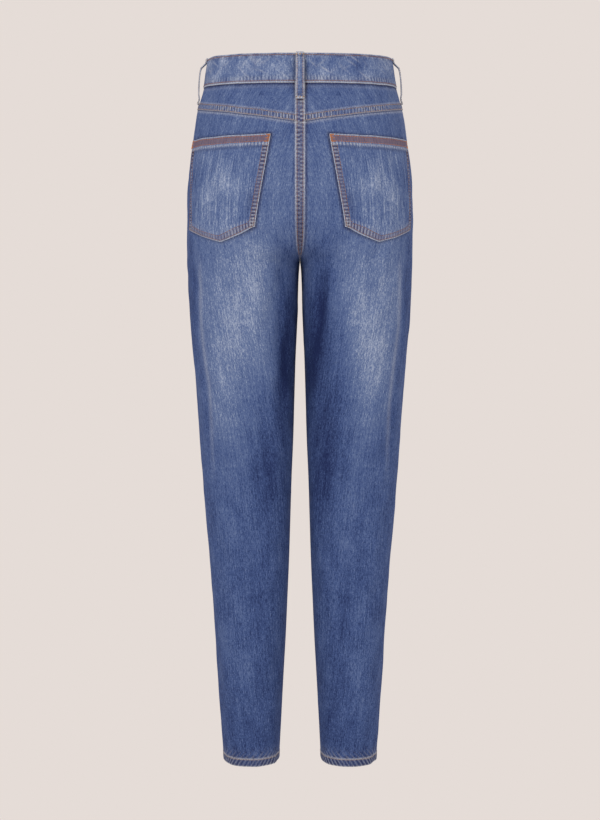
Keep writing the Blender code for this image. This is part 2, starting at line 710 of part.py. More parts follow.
def build_zip_slider(material, group):
    """The slider and its tab, one solid, lying flat between the tape and the left front."""
    top = ZIP_TOP_Z - 0.002
    neck = top - SLIDER_LENGTH
    levels = (top, top - SLIDER_LENGTH * 0.3, neck, neck - 0.001, neck - TAB_LENGTH * 0.85, neck - TAB_LENGTH)
    halves = (0.35, 0.5, 0.36, TAB_WIDTH / SLIDER_WIDTH / 2, TAB_WIDTH / SLIDER_WIDTH / 2, 0.16)
    bed = -(FLY_DIVE + DENIM + SEAM_GAP + 0.00005) + 0.00035
    outer, inner = [], []
    for z, half in zip(levels, halves):
        thick = SLIDER_THICK if z >= neck else SLIDER_THICK * 0.7
        across = SLIDER_X + SLIDER_WIDTH * half * np.array((-1.0, 0.0, 1.0))
        place = across - front_middle(z)
        outer.append(cloth("left", z, place, bed + thick))
        inner.append(cloth("left", z, place, bed))
    cloth_wall("zip_slider", np.array(outer), np.array(inner), material, group)


def build_button(material, group):
    """A plain shank button: a turned profile with a rolled rim, a hollowed face and a short foot."""
    profile = (
        (0.0, 0.80),
        (0.45, 0.80),
        (0.70, 0.92),
        (0.86, 1.00),
        (0.97, 0.90),
        (1.00, 0.70),
        (0.95, 0.52),
        (0.60, 0.42),
        (0.52, 0.0),
        (0.0, 0.0),
    )
    mesh = bpy.data.meshes.new("waist_button")
    points = [(BUTTON_RADIUS * r, 0.0, BUTTON_HEIGHT * h) for r, h in profile]
    mesh.from_pydata(points, [(i, i + 1) for i in range(len(points) - 1)], [])
    made = add_object("waist_button", mesh, material, group)
    turned = made.modifiers.new("turned", "SCREW")
    turned.steps = turned.render_steps = 24
    turned.use_merge_vertices = True
    turned.merge_threshold = 0.00005
    turned.use_smooth_shade = True
    around = BUTTON_X - float(front_middle(0.0))
    foot = cloth("left", 0.0, around, BAND_OUT + SEAM_GAP + 0.0001)
    out = cloth("left", 0.0, around, BAND_OUT + 1.0) - foot
    made.location = foot
    made.rotation_euler = (math.atan2(math.hypot(out[0], out[1]), out[2]), 0.0, math.atan2(out[0], -out[1]))


def main():
    remove_everything()
    group = make_collection()
    seat = make_material("seat denim", SEAT_BLUE)
    leg = make_material("leg denim", LEG_BLUE)
    pocket = make_material("pocket denim", POCKET_BLUE)
    band = make_material("waistband denim", BAND_BLUE)
    tape = make_material("zip tape", TAPE_BLUE)
    metal = make_material("aged metal", METAL_BROWN, roughness=0.45, metallic=0.9)
    build_waistband(band, group)
    for side, _ in SIDES:
        build_yoke(side, seat, group)
        build_back_leg(side, leg, group)
        build_front_leg(side, leg, group)
        build_back_pocket(side, pocket, group)
        build_pocket_facing(side, leg, group)
    build_belt_loops(band, group)
    build_zip_tape(tape, group)
    build_zip_slider(metal, group)
    build_button(metal, group)


main()
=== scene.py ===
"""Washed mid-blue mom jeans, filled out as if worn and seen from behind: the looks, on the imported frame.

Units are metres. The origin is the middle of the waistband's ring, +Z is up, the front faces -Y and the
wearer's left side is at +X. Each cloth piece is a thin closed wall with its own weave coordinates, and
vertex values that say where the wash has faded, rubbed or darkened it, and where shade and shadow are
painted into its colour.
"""

import json
import math

import bpy
import numpy as np
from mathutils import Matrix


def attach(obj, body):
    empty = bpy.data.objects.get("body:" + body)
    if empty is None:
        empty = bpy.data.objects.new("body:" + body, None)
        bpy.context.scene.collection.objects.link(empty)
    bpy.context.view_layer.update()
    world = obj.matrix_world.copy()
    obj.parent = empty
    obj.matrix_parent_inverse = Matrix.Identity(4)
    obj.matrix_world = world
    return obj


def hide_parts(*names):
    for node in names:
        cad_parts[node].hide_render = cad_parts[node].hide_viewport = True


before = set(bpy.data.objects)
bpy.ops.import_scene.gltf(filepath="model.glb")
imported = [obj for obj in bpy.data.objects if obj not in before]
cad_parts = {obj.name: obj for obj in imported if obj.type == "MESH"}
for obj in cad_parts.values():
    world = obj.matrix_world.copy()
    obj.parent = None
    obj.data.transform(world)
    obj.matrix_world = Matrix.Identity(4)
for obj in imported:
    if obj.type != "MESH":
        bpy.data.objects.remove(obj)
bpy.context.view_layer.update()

bl_info = {
    "name": "Mom jeans",
    "version": (1, 0, 0),
    "blender": (4, 5, 0),
    "location": "View3D > Sidebar > Jeans",
    "description": "Sews washed denim jeans on the packed frame, filled out as if worn",
    "category": "Add Mesh",
}

BODY = "root"
SIDES = (("left", 1), ("right", -1))

# Lengths down the garment, as in the solids
BAND_HEIGHT = 0.041
BAND_TOP = BAND_HEIGHT / 2
BAND_BOTTOM = -BAND_HEIGHT / 2
CROTCH_Z = -0.2655
HEM_Z = -0.985
HEM_HEIGHT = 0.0115

# Cloth and seams. The shells meet closer than the solids do, so that no light shows through a seam.
DENIM = 0.0014
SEAM_GAP = 0.0003
SHELL_GAP = 0.0001
SEAM_RAISE = 0.0008
SEAM_HALF_WIDTH = 0.0055
YOKE_BAND = 0.0095
STEP_WIDTH = 0.0011
SIDE_SEAM = -0.005
HEM_OUT = 0.0003
HEM_IN = 0.0025

# Waistband
BAND_OUT = 0.0010
BAND_IN = 0.0016
BAND_EDGE_ROLL = 0.0006
BAND_LEFT_END = 0.006
BAND_RIGHT_UNDERLAP = 0.034
BAND_DIVE = 0.0030
BAND_DIVE_FROM = 0.026
BAND_DIVE_TO = 0.008

# Back yoke
YOKE_AT_BACK = 0.054
YOKE_AT_SIDE = 0.030
YOKE_CURVE = 1.4

# Back patch pocket
POCKET_TOP_INNER_Z = -0.091
POCKET_TOP_OUTER_Z = -0.096
POCKET_LOW_INNER_Z = -0.216
POCKET_POINT_Z = -0.237
POCKET_LOW_OUTER_Z = -0.220
POCKET_TOP_FROM_BACK = (0.040, 0.181)
POCKET_LOW_FROM_BACK = (0.063, 0.180)
POCKET_HEM = 0.0125
POCKET_HEM_RAISE = 0.0009
POCKET_MOUTH_BOW = 0.0008

# Front scoop pocket, fly and zip
SCOOP_WIDTH = 0.056
SCOOP_DEPTH = 0.070
FACING_UNDER = 0.016
FLY_OVERLAP = 0.006
FLY_STRAIGHT_Z = -0.132
FLY_END_Z = -0.152
FLY_DIVE = 0.0020
FLY_DIVE_FROM = 0.032
FLY_DIVE_TO = 0.009
ZIP_TOP_Z = -0.0225
ZIP_BOTTOM_Z = -0.146
ZIP_TAPE = 0.0007

# Belt loops
LOOP_HALF_WIDTH = 0.0057
LOOP_THICK = 0.0018
LOOP_STAND = 0.0066
FRONT_LOOP_STAND = 0.0076
LOOP_BELOW_BAND = 0.023
SIDE_LOOP_AROUND = 0.006
FRONT_LOOP_FROM_MIDDLE = 0.074

# Button
BUTTON_RADIUS = 0.0085
BUTTON_HEIGHT = 0.0030
BUTTON_X = 0.009

# Stitched rows: how far each lies from the edge that it follows
BAND_ROW = 0.0027
YOKE_ROWS = (0.0012, 0.0083)
POCKET_HEM_ROWS = (0.0026, 0.0100)
POCKET_SIDE_ROWS = (0.0018, 0.0078)
SEAT_ROW = 0.0040
HEM_ROW = 0.0104
SCOOP_ROWS = (0.0022, 0.0086)
FLY_ROWS = (0.0330, 0.0395)
LOOP_ROW = 0.0040

# Zip teeth and bar tacks
TOOTH_PITCH = 0.0017
TOOTH_LENGTH = 0.0012
TOOTH_WIDTH = 0.0046
TACK_PITCH = 0.0022
TACK_LENGTH = 0.0030
TACK_WIDTH = 0.0009

# The camera's height, and its tilt down in degrees
CAMERA_Z = -0.262
CAMERA_TILT = 4.635

# One row a level of one leg's ring, the same as in the solids
SECTION_COLUMNS = ("z", "outer", "inner", "back", "front", "power_back", "power_front")
SECTIONS = (
    (0.030, 0.1275, -0.1275, 0.091, 0.093, 2.45, 2.35),
    (0.000, 0.1325, -0.1325, 0.094, 0.097, 2.45, 2.35),
    (-0.0205, 0.1360, -0.1360, 0.098, 0.100, 2.45, 2.35),
    (-0.055, 0.1455, -0.1380, 0.108, 0.106, 2.45, 2.40),
    (-0.094, 0.1513, -0.1300, 0.115, 0.108, 2.45, 2.45),
    (-0.122, 0.1553, -0.1200, 0.118, 0.108, 2.45, 2.50),
    (-0.160, 0.1590, -0.1020, 0.119, 0.106, 2.45, 2.50),
    (-0.206, 0.1603, -0.0655, 0.116, 0.101, 2.45, 2.50),
    (-0.240, 0.1603, -0.0283, 0.108, 0.097, 2.40, 2.45),
    (-0.2655, 0.1600, 0.0002, 0.101, 0.094, 2.35, 2.35),
    (-0.290, 0.1593, 0.0021, 0.097, 0.092, 2.30, 2.30),
    (-0.347, 0.1569, 0.0037, 0.091, 0.090, 2.25, 2.25),
    (-0.403, 0.1518, 0.0063, 0.084, 0.088, 2.20, 2.20),
    (-0.460, 0.1477, 0.0080, 0.077, 0.087, 2.20, 2.20),
    (-0.517, 0.1438, 0.0096, 0.069, 0.086, 2.20, 2.20),
    (-0.575, 0.1398, 0.0121, 0.062, 0.083, 2.20, 2.20),
    (-0.632, 0.1356, 0.0138, 0.060, 0.077, 2.20, 2.20),
    (-0.690, 0.1306, 0.0156, 0.061, 0.070, 2.20, 2.20),
    (-0.748, 0.1263, 0.0181, 0.063, 0.065, 2.20, 2.20),
    (-0.806, 0.1224, 0.0207, 0.062, 0.061, 2.20, 2.20),
    (-0.864, 0.1192, 0.0240, 0.059, 0.058, 2.20, 2.20),
    (-0.923, 0.1152, 0.0271, 0.056, 0.055, 2.20, 2.20),
    (-0.990, 0.1108, 0.0306, 0.053, 0.053, 2.20, 2.20),
)

# The largest soft folds, the same as in the solids
FOLD_COLUMNS = ("side", "z", "around", "lean", "length", "width", "height")
FOLDS = (
    ("left", -0.350, 0.196, 7, 0.105, 0.018, -0.0032),
    ("left", -0.375, 0.158, 4, 0.120, 0.020, 0.0022),
    ("left", -0.460, 0.085, -4, 0.110, 0.026, 0.0016),
    ("left", -0.570, 0.120, 12, 0.060, 0.018, -0.0020),
    ("left", -0.615, 0.060, -20, 0.050, 0.016, 0.0018),
    ("left", -0.720, 0.100, 6, 0.100, 0.019, -0.0022),
    ("left", -0.830, 0.055, -8, 0.080, 0.018, 0.0018),
    ("left", -0.900, 0.095, 15, 0.045, 0.015, -0.0015),
    ("left", -0.420, -0.090, 5, 0.110, 0.026, -0.0020),
    ("left", -0.590, -0.110, 50, 0.050, 0.020, 0.0020),
    ("left", -0.800, -0.070, -6, 0.110, 0.020, 0.0020),
    ("right", -0.345, 0.190, 10, 0.110, 0.019, -0.0034),
    ("right", -0.365, 0.150, 6, 0.110, 0.021, 0.0020),
    ("right", -0.480, 0.090, 5, 0.120, 0.024, 0.0018),
    ("right", -0.560, 0.125, -10, 0.060, 0.018, -0.0018),
    ("right", -0.650, 0.070, 16, 0.055, 0.017, 0.0018),
    ("right", -0.740, 0.095, -5, 0.090, 0.018, -0.0022),
    ("right", -0.850, 0.060, 9, 0.085, 0.018, 0.0016),
    ("right", -0.905, 0.100, -14, 0.040, 0.015, -0.0015),
    ("right", -0.400, -0.085, -6, 0.110, 0.026, -0.0020),
    ("right", -0.610, -0.105, -48, 0.050, 0.020, 0.0020),
    ("right", -0.790, -0.075, 7, 0.110, 0.020, 0.0018),
)

# Finer creases, placed by how far each is from the middle as seen from behind or from the front.
# lean is from upright, plus where the crease runs outward on its way up.
CREASE_COLUMNS = ("face", "side", "x", "z", "lean", "length", "width", "height")
CREASES = (
    ("back", "left", 0.019, -0.400, -4, 0.075, 0.0065, -0.0011),
    ("back", "left", 0.034, -0.380, -3, 0.070, 0.0085, 0.0008),
    ("back", "left", 0.046, -0.545, 9, 0.050, 0.0075, -0.0007),
    ("back", "left", 0.058, -0.520, 7, 0.055, 0.0085, 0.0006),
    ("back", "left", 0.074, -0.335, 5, 0.060, 0.0080, -0.0004),
    ("back", "left", 0.121, -0.600, -5, 0.045, 0.0070, -0.0006),
    ("back", "left", 0.066, -0.640, 38, 0.018, 0.0065, 0.0006),
    ("back", "left", 0.080, -0.622, 52, 0.021, 0.0060, -0.0005),
    ("back", "left", 0.052, -0.760, -6, 0.050, 0.0070, -0.0006),
    ("back", "left", 0.072, -0.850, 5, 0.045, 0.0080, 0.0006),
    ("back", "left", 0.096, -0.900, -8, 0.035, 0.0060, -0.0005),
    ("back", "right", 0.023, -0.365, 9, 0.085, 0.0070, -0.0013),
    ("back", "right", 0.038, -0.350, 8, 0.080, 0.0085, 0.0008),
    ("back", "right", 0.061, -0.370, 6, 0.065, 0.0075, -0.0007),
    ("back", "right", 0.084, -0.330, 3, 0.070, 0.0090, 0.0005),
    ("back", "right", 0.035, -0.560, 7, 0.060, 0.0085, -0.0008),
    ("back", "right", 0.051, -0.585, 5, 0.050, 0.0080, 0.0006),
    ("back", "right", 0.112, -0.480, -3, 0.060, 0.0080, -0.0005),
    ("back", "right", 0.070, -0.665, -42, 0.018, 0.0060, 0.0006),
    ("back", "right", 0.090, -0.640, -50, 0.020, 0.0060, -0.0005),
    ("back", "right", 0.060, -0.775, 6, 0.045, 0.0070, -0.0006),
    ("back", "right", 0.080, -0.870, -5, 0.045, 0.0080, 0.0006),
    ("back", "right", 0.046, -0.905, 10, 0.030, 0.0060, -0.0005),
    ("back", "left", 0.022, -0.246, 38, 0.020, 0.0040, -0.0006),
    ("back", "left", 0.030, -0.266, 52, 0.022, 0.0045, 0.0005),
    ("back", "right", 0.024, -0.248, 42, 0.022, 0.0040, -0.0006),
    ("back", "right", 0.033, -0.272, 55, 0.022, 0.0045, 0.0005),
    ("back", "right", 0.022, -0.140, 6, 0.030, 0.0040, -0.0003),
    ("back", "left", 0.024, -0.175, -5, 0.030, 0.0045, -0.0003),
    ("front", "left", 0.030, -0.215, 62, 0.034, 0.0050, -0.0008),
    ("front", "left", 0.044, -0.238, 68, 0.040, 0.0055, 0.0008),
    ("front", "left", 0.040, -0.268, 58, 0.036, 0.0055, -0.0008),
    ("front", "left", 0.085, -0.180, 70, 0.034, 0.0060, 0.0006),
    ("front", "left", 0.060, -0.560, 66, 0.032, 0.0080, -0.0008),
    ("front", "left", 0.086, -0.600, -64, 0.034, 0.0080, 0.0008),
    ("front", "left", 0.066, -0.760, 8, 0.060, 0.0085, -0.0008),
    ("front", "left", 0.088, -0.880, -9, 0.040, 0.0075, 0.0006),
    ("front", "right", 0.034, -0.208, 60, 0.036, 0.0050, -0.0008),
    ("front", "right", 0.048, -0.246, 66, 0.038, 0.0055, 0.0008),
    ("front", "right", 0.036, -0.276, 55, 0.036, 0.0055, -0.0008),
    ("front", "right", 0.090, -0.188, 72, 0.032, 0.0060, 0.0006),
    ("front", "right", 0.064, -0.575, 60, 0.034, 0.0080, -0.0008),
    ("front", "right", 0.082, -0.625, -58, 0.032, 0.0080, 0.0008),
    ("front", "right", 0.072, -0.745, -7, 0.060, 0.0085, -0.0008),
    ("front", "right", 0.058, -0.870, 9, 0.045, 0.0075, 0.0006),
)

# Each seam's puckers: the distance from one to the next, and where along the seam they start
SEAT_PUCKERS = (0.0056, 0.7)
YOKE_PUCKERS = (0.0043, 2.2)
HEM_PUCKERS = (0.0062, 4.1)
POCKET_MOUTH_PUCKERS = (0.0044, 0.9)
POCKET_SIDE_PUCKERS = (0.0049, 3.3)
POCKET_LOW_PUCKERS = (0.0045, 5.2)
SCOOP_PUCKERS = (0.0046, 1.3)
BAND_PUCKERS = (0.0047, 1.1)
LOOP_PUCKERS = (0.0052, 2.6)

# Where the wash is paler, and darker with painted shade where under zero (the valleys of the inner thighs and
# calves, and the legs' outer edges at the back), placed as the creases are
FADE_COLUMNS = ("face", "side", "x", "z", "lean", "length", "width", "amount")
FADES_AND_SHADE = (
    ("back", "left", 0.088, -0.340, 2, 0.105, 0.042, 0.34),
    ("back", "left", 0.110, -0.450, 3, 0.100, 0.022, 0.16),
    ("back", "left", 0.058, -0.285, 3, 0.060, 0.020, 0.14),
    ("back", "left", 0.018, -0.400, -4, 0.105, 0.020, -0.26),
    ("back", "left", 0.045, -0.560, 6, 0.080, 0.018, -0.15),
    ("back", "left", 0.085, -0.620, 0, 0.110, 0.040, 0.06),
    ("back", "left", 0.082, -0.800, 0, 0.080, 0.022, 0.07),
    ("back", "left", 0.028, -0.170, 0, 0.070, 0.016, 0.10),
    ("back", "left", 0.156, -0.300, 0, 0.200, 0.010, -0.20),
    ("back", "right", 0.070, -0.310, 4, 0.065, 0.026, 0.18),
    ("back", "right", 0.104, -0.395, 3, 0.085, 0.028, 0.38),
    ("back", "right", 0.120, -0.280, 3, 0.070, 0.026, 0.16),
    ("back", "right", 0.024, -0.370, 8, 0.120, 0.020, -0.30),
    ("back", "right", 0.040, -0.520, 5, 0.110, 0.024, -0.20),
    ("back", "right", 0.066, -0.590, 4, 0.100, 0.018, 0.09),
    ("back", "right", 0.078, -0.780, 0, 0.090, 0.022, 0.06),
    ("back", "right", 0.028, -0.160, 0, 0.070, 0.016, 0.08),
    ("back", "right", 0.156, -0.300, 0, 0.200, 0.010, -0.20),
    ("front", "left", 0.085, -0.360, 0, 0.130, 0.040, 0.36),
    ("front", "left", 0.080, -0.600, 0, 0.070, 0.036, 0.12),
    ("front", "left", 0.014, -0.380, -4, 0.140, 0.018, -0.24),
    ("front", "right", 0.088, -0.370, 0, 0.130, 0.040, 0.36),
    ("front", "right", 0.078, -0.590, 0, 0.070, 0.036, 0.12),
    ("front", "right", 0.014, -0.370, 4, 0.140, 0.018, -0.24),
)

# The wash from the waist down, as fade values at levels
WASH_LEVELS = (0.03, -0.03, -0.10, -0.20, -0.27, -0.36, -0.47, -0.60, -0.80, -0.93, -0.985)
WASH_FADES = (0.50, 0.46, 0.47, 0.50, 0.47, 0.42, 0.38, 0.33, 0.30, 0.27, 0.22)

# The pressed ridge that runs down each leg's back, near its outer edge
RIDGE_FROM_EDGE = 0.0205
RIDGE_WIDTH = 0.0026
RIDGE_TOP_Z = -0.245
RIDGE_LOW_Z = -0.60

RING_POINTS = 241
LEVEL_STEP = 0.002
CROTCH_STEP = 0.00025
CROTCH_ZONE = 0.030

RIPPLE_SEED = 11
RIPPLE_COUNT = 14
SCRATCH_SEED = 23
SCRATCH_COUNT = 150
STITCH_SEED = 5
STITCH_UNEVENNESS = 0.12


def linear(channel):
    """One sRGB channel from 0 to 255 as linear light."""
    value = channel / 255
    if value <= 0.04045:
        return value / 12.92
    return ((value + 0.055) / 1.055) ** 2.4


def colour(red, green, blue):
    return tuple(linear(channel) for channel in (red, green, blue))


def colour_property(name, description, shade):
    return bpy.props.FloatVectorProperty(
        name=name, description=description, subtype="COLOR", size=3, min=0.0, max=1.0, default=colour(*shade)
    )


def length_property(name, description, metres):
    return bpy.props.FloatProperty(name=name, description=description, default=metres, unit="LENGTH")


class JeansWash(bpy.types.PropertyGroup):
    """The denim's colours and grain."""

    deep: colour_property("Deep", "Unfaded indigo between the yarns", (30, 42, 84))
    body: colour_property("Body", "The wash's usual blue", (66, 86, 134))
    faded: colour_property("Faded", "Blue where the wash is pale", (104, 122, 160))
    pale: colour_property("Pale", "The palest yarn ends", (160, 172, 196))
    rubbed: colour_property("Rubbed", "Cloth worn nearly white on ridges and edges", (196, 200, 208))
    dyed_and_shaded: colour_property("Dyed", "Dark cloth that the wash can't reach, beside seams", (40, 38, 66))
    # This dark colour also paints shade and shadow under and beside raised parts.
    stained: colour_property("Stained", "Brownish cloth under dense stitching", (124, 100, 102))
    inside: colour_property("Inside", "The cloth's pale inner face", (138, 150, 172))
    grain: bpy.props.FloatProperty(
        name="Grain", description="How strongly single yarns show", default=1.0, min=0.0, max=3.0
    )
    slub_width: length_property("Slub width", "Width of a yarn's thick streak", 0.0014)
    slub_length: length_property("Slub length", "Length of a yarn's thick streak", 0.0065)
    twill_pitch: length_property("Twill pitch", "Distance between the weave's slanted lines", 0.0009)


class JeansSewing(bpy.types.PropertyGroup):
    """The thread's sizes and colours."""

    pitch: length_property("Pitch", "Distance from one stitch to the next", 0.0033)
    length: length_property("Length", "Length of one stitch", 0.0028)
    width: length_property("Width", "Width of the thread", 0.0010)
    thickness: length_property("Thickness", "How thick the thread lies", 0.0007)
    brown: colour_property("Brown thread", "Thread of most rows", (150, 104, 74))
    orange: colour_property("Orange thread", "Thread of the pocket hems and bar tacks", (196, 122, 60))
    sand: colour_property("Sand thread", "Thread of the yoke's and the legs' rows", (176, 152, 130))


class JeansStudio(bpy.types.PropertyGroup):
    """The camera, the light and the floor."""

    backdrop: colour_property("Backdrop", "Colour of the plain surroundings", (229, 220, 215))
    lens: bpy.props.FloatProperty(
        name="Lens", description="The camera's focal length in millimetres", default=81.2, min=10.0, max=300.0
    )
    distance: length_property("Distance", "From the garment's middle to the camera", 2.65)
    key_power: bpy.props.FloatProperty(
        name="Key power", description="Power of the large soft lamp, in watts", default=34.0, min=0.0
    )
    floor_drop: length_property("Floor drop", "How far the floor lies under the waist", 1.9)


def smooth_slopes(place, value):
    """Slopes of a cubic curve through the rows that doesn't overshoot between them."""
    rise = np.diff(value) / np.diff(place)
    before, after = rise[:-1], rise[1:]
    same_way = before * after > 0
    slopes = np.zeros_like(value)
    slopes[0], slopes[-1] = rise[0], rise[-1]
    inner = slopes[1:-1]
    inner[same_way] = 2 * (before * after)[same_way] / (before + after)[same_way]
    return slopes


def smooth_curve(place, value, at):
    """The cubic curve through (place, value), read at the given places."""
    slopes = smooth_slopes(place, value)
    left = np.clip(np.searchsorted(place, at) - 1, 0, len(place) - 2)
    width = place[left + 1] - place[left]
    t = (at - place[left]) / width
    return (
        value[left] * (1 + 2 * t) * (1 - t) ** 2
        + value[left + 1] * t**2 * (3 - 2 * t)
        + slopes[left] * width * t * (1 - t) ** 2
        - slopes[left + 1] * width * t**2 * (1 - t)
    )


def read_section(column, z):
    """One column of SECTIONS at the given levels."""
    rows = np.array(SECTIONS)[::-1]
    return smooth_curve(rows[:, 0], rows[:, SECTION_COLUMNS.index(column)], z)


def half_ring(outer, inner, depth, power):
    """(x, y, length) of evenly spaced points on half a ring, from its outer side to its inner side."""
    angle = np.linspace(0, math.pi, 4 * RING_POINTS)
    centre, reach = (outer + inner) / 2, (outer - inner) / 2
    x = centre + reach * np.sign(np.cos(angle)) * np.abs(np.cos(angle)) ** (2 / power)
    y = depth * np.abs(np.sin(angle)) ** (2 / power)
    along = np.concatenate([[0], np.cumsum(np.hypot(np.diff(x), np.diff(y)))])
    even = np.linspace(0, along[-1], RING_POINTS)
    return np.interp(even, along, x), np.interp(even, along, y), along[-1]


def surface_levels():
    """Levels from the hem up, closer together at the crotch."""
    top, bottom = SECTIONS[0][0], SECTIONS[-1][0]
    coarse = np.linspace(bottom, top, round((top - bottom) / LEVEL_STEP) + 1)
    count = round(CROTCH_ZONE / CROTCH_STEP) + 1
    fine = np.linspace(CROTCH_Z, CROTCH_Z + CROTCH_ZONE, count)
    return np.unique(np.round(np.concatenate([coarse, fine]), 6))


def make_surface():
    """The bare surface of one half as tables: a row a level, a column a place along the ring.

    Columns run from the inner side round the front to the outer side, and on round the back.
    """
    levels = surface_levels()
    names = SECTION_COLUMNS[1:]
    sizes = {name: read_section(name, levels) for name in names}
    points = np.zeros((len(levels), 2 * RING_POINTS - 1, 3))
    lengths = np.zeros((len(levels), 2))
    middles = np.zeros((len(levels), 2))
    for row, z in enumerate(levels):
        for face, name in enumerate(("back", "front")):
            x, y, length = half_ring(
                sizes["outer"][row], sizes["inner"][row], sizes[name][row], sizes["power_" + name][row]
            )
            part = slice(RING_POINTS - 1, None) if name == "back" else slice(RING_POINTS - 1, None, -1)
            points[row, part, 0] = x
            points[row, part, 1] = y if name == "back" else -y
            lengths[row, face] = length
            middles[row, face] = np.interp(0.0, -x, np.linspace(0, length, RING_POINTS))
        points[row, :, 2] = z
    round_way = np.gradient(points, axis=1)
    upward = np.gradient(points, levels, axis=0)
    normals = np.cross(round_way, upward)
    normals /= np.linalg.norm(normals, axis=2, keepdims=True)
    return levels, points, normals, lengths, middles


LEVELS, POINTS, NORMALS, LENGTHS, MIDDLES = make_surface()


def read_table(table, row, column):
    """The table between its entries, at fractional rows and columns."""
    row = np.clip(row, 0, table.shape[0] - 1.000001)
    column = np.clip(column, 0, table.shape[1] - 1.000001)
    r, c = row.astype(int), column.astype(int)
    down, over = (row - r)[..., None], (column - c)[..., None]
    upper = table[r, c] * (1 - over) + table[r, c + 1] * over
    lower = table[r + 1, c] * (1 - over) + table[r + 1, c + 1] * over
    return upper * (1 - down) + lower * down


def back_length(z):
    return np.interp(z, LEVELS, LENGTHS[:, 0])


def front_length(z):
    return np.interp(z, LEVELS, LENGTHS[:, 1])


def back_middle(z):
    """How far the cloth runs along the back from the side's outermost line to x = 0, or to the inseam."""
    return np.interp(z, LEVELS, MIDDLES[:, 0])


def front_middle(z):
    return np.interp(z, LEVELS, MIDDLES[:, 1])


def soft_step(value):
    """0 below 0, 1 above 1, and a soft slope between."""
    t = np.clip(value, 0, 1)
    return t * t * (3 - 2 * t)


def bump_line(distance, width):
    """A soft line: 1 at distance 0, fading out over the width."""
    return np.exp(-((distance / width) ** 2))


def soft_spots(table, columns, face, side, x, z):
    """The sum of a table's soft spots at places given by their distance from the middle and their level."""
    total = np.zeros(np.shape(z))
    for row in table:
        spot = dict(zip(columns, row))
        if spot["face"] != face or spot["side"] != side:
            continue
        lean = math.radians(spot["lean"])
        up, over = z - spot["z"], x - spot["x"]
        along = up * math.cos(lean) + over * math.sin(lean)
        across = over * math.cos(lean) - up * math.sin(lean)
        size = spot.get("height", spot.get("amount"))
        total += size * np.exp(-((along / spot["length"]) ** 2) - (across / spot["width"]) ** 2)
    return total


def fold_height(side, z, around):
    """How far the soft folds move the cloth out at these places."""
    height = np.zeros(np.shape(z))
    for row in FOLDS:
        fold = dict(zip(FOLD_COLUMNS, row))
        if fold["side"] != side:
            continue
        lean = math.radians(fold["lean"])
        up, over = z - fold["z"], around - fold["around"]
        along = up * math.cos(lean) + over * math.sin(lean)
        across = over * math.cos(lean) - up * math.sin(lean)
        height += fold["height"] * np.exp(-((along / fold["length"]) ** 2) - (across / fold["width"]) ** 2)
    return height


def ripple_height(side, z, around):
    """Faint uneven waves that keep the cloth from looking drawn with a ruler."""
    draw = np.random.default_rng(RIPPLE_SEED + dict(SIDES)[side])
    height = np.zeros(np.shape(z))
    for _ in range(RIPPLE_COUNT):
        across = draw.uniform(0.018, 0.060)
        upward = draw.uniform(0.050, 0.180)
        lean = draw.uniform(-0.5, 0.5)
        phase = draw.uniform(0, 2 * math.pi, 2)
        size = 0.00016 * (across / 0.03)
        turn = 2 * math.pi * ((around + lean * z) / across)
        height += size * np.sin(turn + phase[0]) * np.sin(2 * math.pi * z / upward + phase[1])
    return height


def free_of_seams(z, around):
    """1 in the middle of a panel and 0 at its side seam, and at the middle of the body or the inseam."""
    end = np.where(around >= 0, back_middle(z), front_middle(z))
    from_side = soft_step(np.abs(around - SIDE_SEAM) / 0.030)
    from_end = soft_step((end - np.abs(around)) / 0.022)
    return from_side * np.clip(from_end, 0, 1)


def crease_height(side, z, around, x):
    """Height of the finer creases and ripples, which die out towards the seams."""
    back = soft_spots(CREASES, CREASE_COLUMNS, "back", side, x, z)
    front = soft_spots(CREASES, CREASE_COLUMNS, "front", side, x, z)
    creases = np.where(around >= SIDE_SEAM, back, front)
    return (creases + ripple_height(side, z, around)) * free_of_seams(z, around)


def bare_cloth(side, z, around):
    """(point, normal, height of folds and creases, crossed) of the left half's surface at these places."""
    past_back = np.where(z > CROTCH_Z, np.maximum(around - back_middle(z), 0), 0)
    past_front = np.where(z > CROTCH_Z, np.maximum(-around - front_middle(z), 0), 0)
    around = around - 2 * past_back + 2 * past_front
    share = np.where(around >= 0, around / back_length(z), around / front_length(z))
    row = np.interp(z, LEVELS, np.arange(len(LEVELS)))
    column = (share + 1) * (RING_POINTS - 1)
    point = read_table(POINTS, row, column)
    normal = read_table(NORMALS, row, column)
    normal /= np.linalg.norm(normal, axis=-1, keepdims=True)
    height = fold_height(side, z, around) + crease_height(side, z, around, point[..., 0])
    return point, normal, height, (past_back > 0) | (past_front > 0)


def cloth(side, z, around, lift=0.0):
    """Points lift metres outside the cloth of one side, at the given levels and distances around.

    A distance past the middle of the back or front carries on over the other half.
    """
    z, around, lift = np.broadcast_arrays(
        np.asarray(z, float), np.asarray(around, float), np.asarray(lift, float)
    )
    point, normal, height, crossed = bare_cloth(side, z, around)
    point = point + normal * (lift + height)[..., None]
    point[..., 0] *= np.where(crossed, -1.0, 1.0)
    if side == "right":
        point[..., 0] *= -1
    return point


def keep_to_side(side, points):
    """The same points, none nearer the middle than half the shells' gap."""
    sign = dict(SIDES)[side]
    points[..., 0] = sign * np.maximum(sign * points[..., 0], SHELL_GAP / 2)
    return points


def puckers(along, period, phase):
    """Uneven waves of about that period along a seam, from -1 to 1."""
    drift = 1.2 * np.sin(along * 47.0 + phase) + 0.8 * np.sin(along * 123.0 + 2.1 * phase)
    strength = 0.72 + 0.28 * np.sin(along * 71.0 + 3.0 * phase)
    return strength * np.sin(2 * math.pi * along / period + drift + phase)


